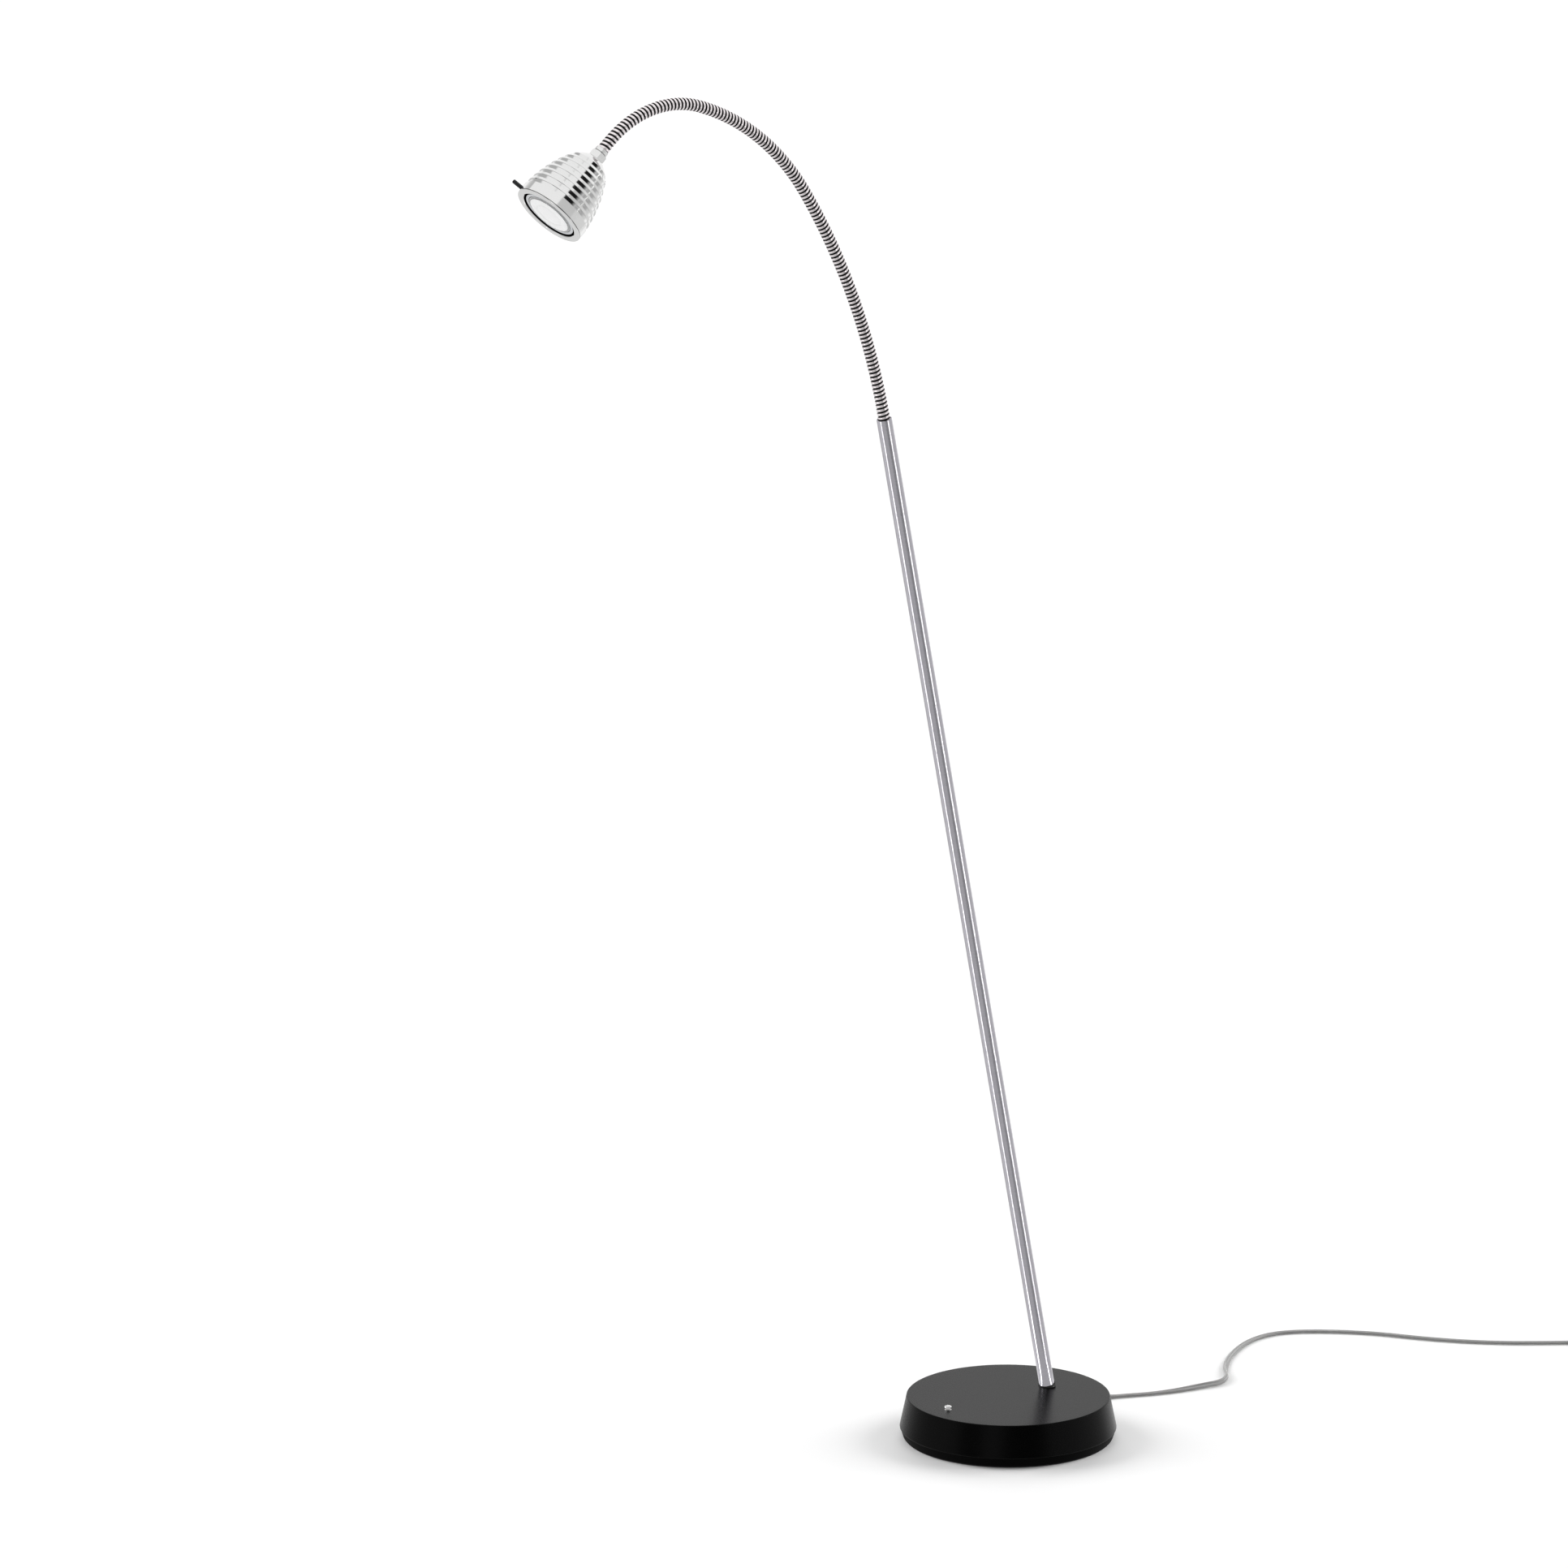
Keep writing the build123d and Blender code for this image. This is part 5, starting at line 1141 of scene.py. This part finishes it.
def bell_radius(height):
    """Radius of the bell's outside at a height."""
    curve = bell_curve(0, 60)
    for (r1, w1), (r2, w2) in zip(curve, curve[1:]):
        if w2 <= height <= w1:
            return r2 + (r1 - r2) * (height - w2) / (w1 - w2)
    return BAND_RADIUS if height > BELL_START else curve[-1][0]


outside = []
grooves = [BELL_START - i * FIN_PITCH for i in range(FIN_GROOVES)]
for i, groove in enumerate(grooves):
    front_edge, rear_edge = groove + GROOVE_WIDTH / 2, groove - GROOVE_WIDTH / 2
    floor_radius = bell_radius(min(groove, BELL_START - 0.01)) - GROOVE_DEPTH
    outside += [(BAND_RADIUS if i == 0 else bell_radius(front_edge), front_edge), (floor_radius, front_edge)]
    outside += [(floor_radius + GROOVE_RISE, rear_edge), (bell_radius(rear_edge), rear_edge)]
    if i < len(grooves) - 1:
        fin = grooves[i + 1] + GROOVE_WIDTH / 2 - rear_edge
        outside += [(bell_radius(rear_edge + fin * k / 3), rear_edge + fin * k / 3) for k in (1, 2)]
outside += [point for point in bell_curve(0) if point[1] < outside[-1][1] - 0.6]

REAR_FACE, POCKET_RADIUS, POCKET_START = 9.0, 7.7, 15.0  # the flat for the nut and the hollow behind it
RING_SEAT = 29.65
outside += [(REAR_FACE, HEAD_NUT_END), (SPINDLE_HOLE, HEAD_NUT_END), (SPINDLE_HOLE, POCKET_START)]
inside = [point for point in reversed(bell_curve(BELL_WALL)) if point[0] > POCKET_RADIUS + 0.1]
inside = [(POCKET_RADIUS, POCKET_START), (POCKET_RADIUS, inside[0][1])] + inside
front_seat = HEAD_LENGTH - 1.2
section = [(BAND_RADIUS, front_seat)] + outside + inside + [(RING_SEAT, BELL_START), (RING_SEAT, front_seat)]
shell = turned("head_shell", section, 160)
print("head section", len(section), "points")

# %% [markdown]
# A tapped hole low on the rear takes the grub screw that holds the lamp's bracket. It is cut before
# the edges are broken, so that it gets a fine edge too. The aiming rod stands square on the band.

# %% Hole, edges and the two small parts
def square_to_head(position, degrees):
    """A matrix from the lathe to a line square to the head's axis, some degrees round from X."""
    round_axis = Matrix.Rotation(math.radians(degrees), 4, "Z") @ Matrix.Rotation(math.pi / 2, 4, "Y")
    return Matrix.Translation((0, 0, position * MM)) @ round_axis


GRUB_POSITION, GRUB_ANGLE, GRUB_LENGTH = 23.9, 320.0, 3.0
at_grub = square_to_head(GRUB_POSITION, GRUB_ANGLE)
hole = bar("hole", 2.15, 10, 40, 32)
place(hole, at_grub)
cut(shell, hole)
bevel(shell, 0.22)
smooth(shell, 22)
place(shell, on_head)
paint(shell, polished)

grub_out = bell_radius(GRUB_POSITION) - BELL_WALL - 0.6
grub = bar("grub", 2.0, grub_out, grub_out + GRUB_LENGTH, 32)
cut(grub, bar("socket", 1.15, grub_out + 1.2, grub_out + GRUB_LENGTH + 1.0, 6))
soften(grub, 0.15)
place(grub, on_head @ at_grub)
paint(grub, dark_coat_and_painted_shade)

ROD_RADIUS, ROD_STEM, ROD_ROUND = 1.85, 1.3, 1.3
ROD_END = BAND_RADIUS + 9.5
rounded = [math.radians(a) for a in range(15, 91, 15)]
rod = turned(
    "aiming_rod",
    [(0, BAND_RADIUS - 2.4), (ROD_STEM, BAND_RADIUS - 2.4), (ROD_STEM, BAND_RADIUS), (ROD_RADIUS, BAND_RADIUS)]
    + [(ROD_RADIUS, BAND_RADIUS + 3.0), (ROD_RADIUS, ROD_END - ROD_ROUND)]
    + [(ROD_RADIUS - ROD_ROUND * (1 - math.cos(a)), ROD_END - ROD_ROUND * (1 - math.sin(a))) for a in rounded]
    + [(0, ROD_END)],
    40,
)
smooth(rod, 35)
place(rod, on_head @ square_to_head(HEAD_LENGTH - 4.2, 124.0))
# painted reflection: the rod's near-black colour stands in for the dark room that it mirrors
paint(rod, rod_painted_reflection)

# %% [markdown]
# ## The front ring and the lamp
# A screwed ring closes the head and leaves a fine joint line behind its flange. Inside it, set back a
# little, is the reflector lamp: a mirrored bowl with a pressed front glass that has a raised middle.

# %% Front ring
RING_BORE, RING_DEPTH, RING_SPIGOT = 27.2, 7.0, 29.6
JOINT_WIDTH, JOINT_DEPTH = 0.4, 0.5
ring = turned(
    "front_ring_turned",
    [(RING_BORE, HEAD_LENGTH - RING_DEPTH), (RING_BORE, HEAD_LENGTH - 0.7), (RING_BORE + 0.7, HEAD_LENGTH)]
    + [(BAND_RADIUS - 0.9, HEAD_LENGTH), (BAND_RADIUS - 0.25, HEAD_LENGTH - 0.3), (BAND_RADIUS, HEAD_LENGTH - 0.8)]
    + [(BAND_RADIUS, front_seat + JOINT_WIDTH), (BAND_RADIUS - JOINT_DEPTH, front_seat + JOINT_WIDTH)]
    + [(BAND_RADIUS - JOINT_DEPTH, front_seat), (RING_SPIGOT, front_seat), (RING_SPIGOT, HEAD_LENGTH - RING_DEPTH)],
    160,
)
# painted shade: the ring's joint line and bore get the matt black, standing in for the shade in the joint and in the
# gap round the lamp
paint(ring, polished, dark_coat_and_painted_shade)
for face in ring.data.polygons:
    in_joint = face_radius(ring, face) < BAND_RADIUS - 0.4 and face.center.z / MM < front_seat + JOINT_WIDTH + 0.05
    if in_joint or face_radius(ring, face) < RING_BORE + 0.1:
        face.material_index = 1  # painted shade: the joint line and the bore are painted black
soften(ring, 0.12, 2, 25)
place(ring, on_head)

# %% Lamp
LAMP_RADIUS = 25.35
LAMP_FACE = HEAD_LENGTH - 1.5
LAMP_REAR = LAMP_FACE - 38.0
RIM_REAR = LAMP_FACE - 2.2
BOWL_REAR, BOWL_NECK, BOWL_WALL = LAMP_REAR + 9.0, 8.5, 1.6
side = LAMP_RADIUS - 1.1


def bowl(inset, low):
    """The reflector's curved side from its neck to its rim, a slight outward curve."""
    shares = [i / 12 for i in range(13)]
    swell = [1.56 * t - 0.56 * t * t for t in shares]
    return [(BOWL_NECK + (side - BOWL_NECK) * s - inset, low + (RIM_REAR - low) * t) for t, s in zip(shares, swell)]


reflector = turned(
    "reflector",
    [(0, BOWL_REAR)]
    + bowl(0, BOWL_REAR)
    + [(LAMP_RADIUS, RIM_REAR), (LAMP_RADIUS, LAMP_FACE), (side - BOWL_WALL, LAMP_FACE)]
    + list(reversed(bowl(BOWL_WALL, BOWL_REAR + BOWL_WALL)))
    + [(0, BOWL_REAR + BOWL_WALL)],
    96,
)
soften(reflector, 0.25, 2, 40)
place(reflector, on_head)
paint(reflector, mirror)

LENS_THICKNESS, LENS_RADIUS, RAISED = 1.6, side - BOWL_WALL - 0.3, 1.0
CLEAR_FROM = 20.3  # the glass is clear outside the raised middle
raised_edge = [(21.2, 0), (20.7, 0.12), (20.2, 0.8), (19.6, RAISED)]
raised_ring = [(13.6, RAISED), (13.0, RAISED / 2), (12.2, RAISED / 2), (11.4, RAISED), (0, RAISED)]
glass = turned(
    "front_glass",
    [(0, LAMP_FACE - LENS_THICKNESS), (LENS_RADIUS, LAMP_FACE - LENS_THICKNESS), (LENS_RADIUS, LAMP_FACE)]
    + [(r, LAMP_FACE + z) for r, z in raised_edge + raised_ring],
    96,
)
paint(glass, etched_glass, clear_glass)
for face in glass.data.polygons:
    if face_radius(glass, face) > CLEAR_FROM:
        face.material_index = 1
smooth(glass, 40)
place(glass, on_head)

# %% [markdown]
# ## Solids that stay
# What sits inside the lamp keeps its solid, because its shape is right, and gets the finish of the
# real part.

# %% Finishes of the solids that stay
FINISHES = (
    (cast_iron, ("base_weight",)),
    (copper, ("transformer",)),
    (nylon, ("switch_body",)),
    (quartz, ("lamp_capsule",)),
    (jacket, ("base_lead", "pole_cable", "head_lead")),
    (steatite, ("lamp_holder", "lamp_base")),
    (turned_steel, ("switch_bush", "pole_insert", "neck_bush", "swivel_washer")),
    (zinc, ("base_screws", "transformer_clamp", "transformer_bolt", "pole_stud", "pole_washer", "pole_nut")),
    (zinc, ("swivel_retainer", "lamp_bracket", "lamp_pins")),
)
for material, names in FINISHES:
    for name in names:
        paint(cad_nodes[name], material)

# %% [markdown]
# ## What moves with what
# Each piece rides on the body of the solid that it stands for. Of the gooseneck, the first piece rides
# on the base and the last on the neck's tip; each piece between, from the middle of one stretch to the
# middle of the next, keeps its place in its mesh.

# %% Riding and replacing
RIDERS = (
    (cover, "base", "black_paint", ("base_cover",)),
    (tray, "base", "black_paint", ("base_tray",)),
    (pad, "base", "felt", ("base_felt",)),
    (boot, "base", "black_rubber", ("cord_gland",)),
    (seat, "base", "black_plastic", ("pole_seat",)),
    (tube, "base", "tube", ("pole_tube",)),
    (button, "switch", "nickel", ("switch_button",)),
    (spring, "base", "steel", ("switch_spring",)),
    (ferrule, "neck_tip", "turned_steel", ("swivel_spindle",)),
    (nut, "head", "aluminium", ("swivel_nut",)),
    (shell, "head", "aluminium", ("head_housing",)),
    (ring, "head", "aluminium", ("front_ring",)),
    (rod, "head", "aluminium", ("handle_rod",)),
    (grub, "head", "black_steel", ("bracket_grub",)),
    (reflector, "head", "reflector", ("lamp_reflector",)),
    (glass, "head", "frosted_glass", ("lamp_lens",)),
    (flex, "base", "clear_cord", ("cord_lead", "cord_coil", "cord_tail")),
    (flex_strands, "base", "clear_cord", ()),
    (plug, "base", "plug", ("plug_body",)),
    (plug_pins, "base", "brass_pins", ("plug_pins",)),
    (tie, "base", "black_plastic", ()),
)
for piece, body, slot_name, stands_for in RIDERS:
    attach(piece, body)
    if stands_for:
        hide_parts(*stands_for)
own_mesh(spring)

for i, piece in enumerate(neck_pieces):
    if i == 0:
        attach(piece, "base")
        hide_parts("neck_0", "neck_cable")
    elif i == len(neck_pieces) - 1:
        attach(piece, "neck_tip")
    else:
        start_at, end_at = (neck_frame(s)[0] * MM for s in middles[i : i + 2])
        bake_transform(piece)
        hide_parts(f"neck_{i}")

# %% [markdown]
# ## Finish
# The view transform is plain, so that a colour shows as it is written.

# %% View settings and sizes
bpy.context.scene.view_settings.view_transform = "Standard"
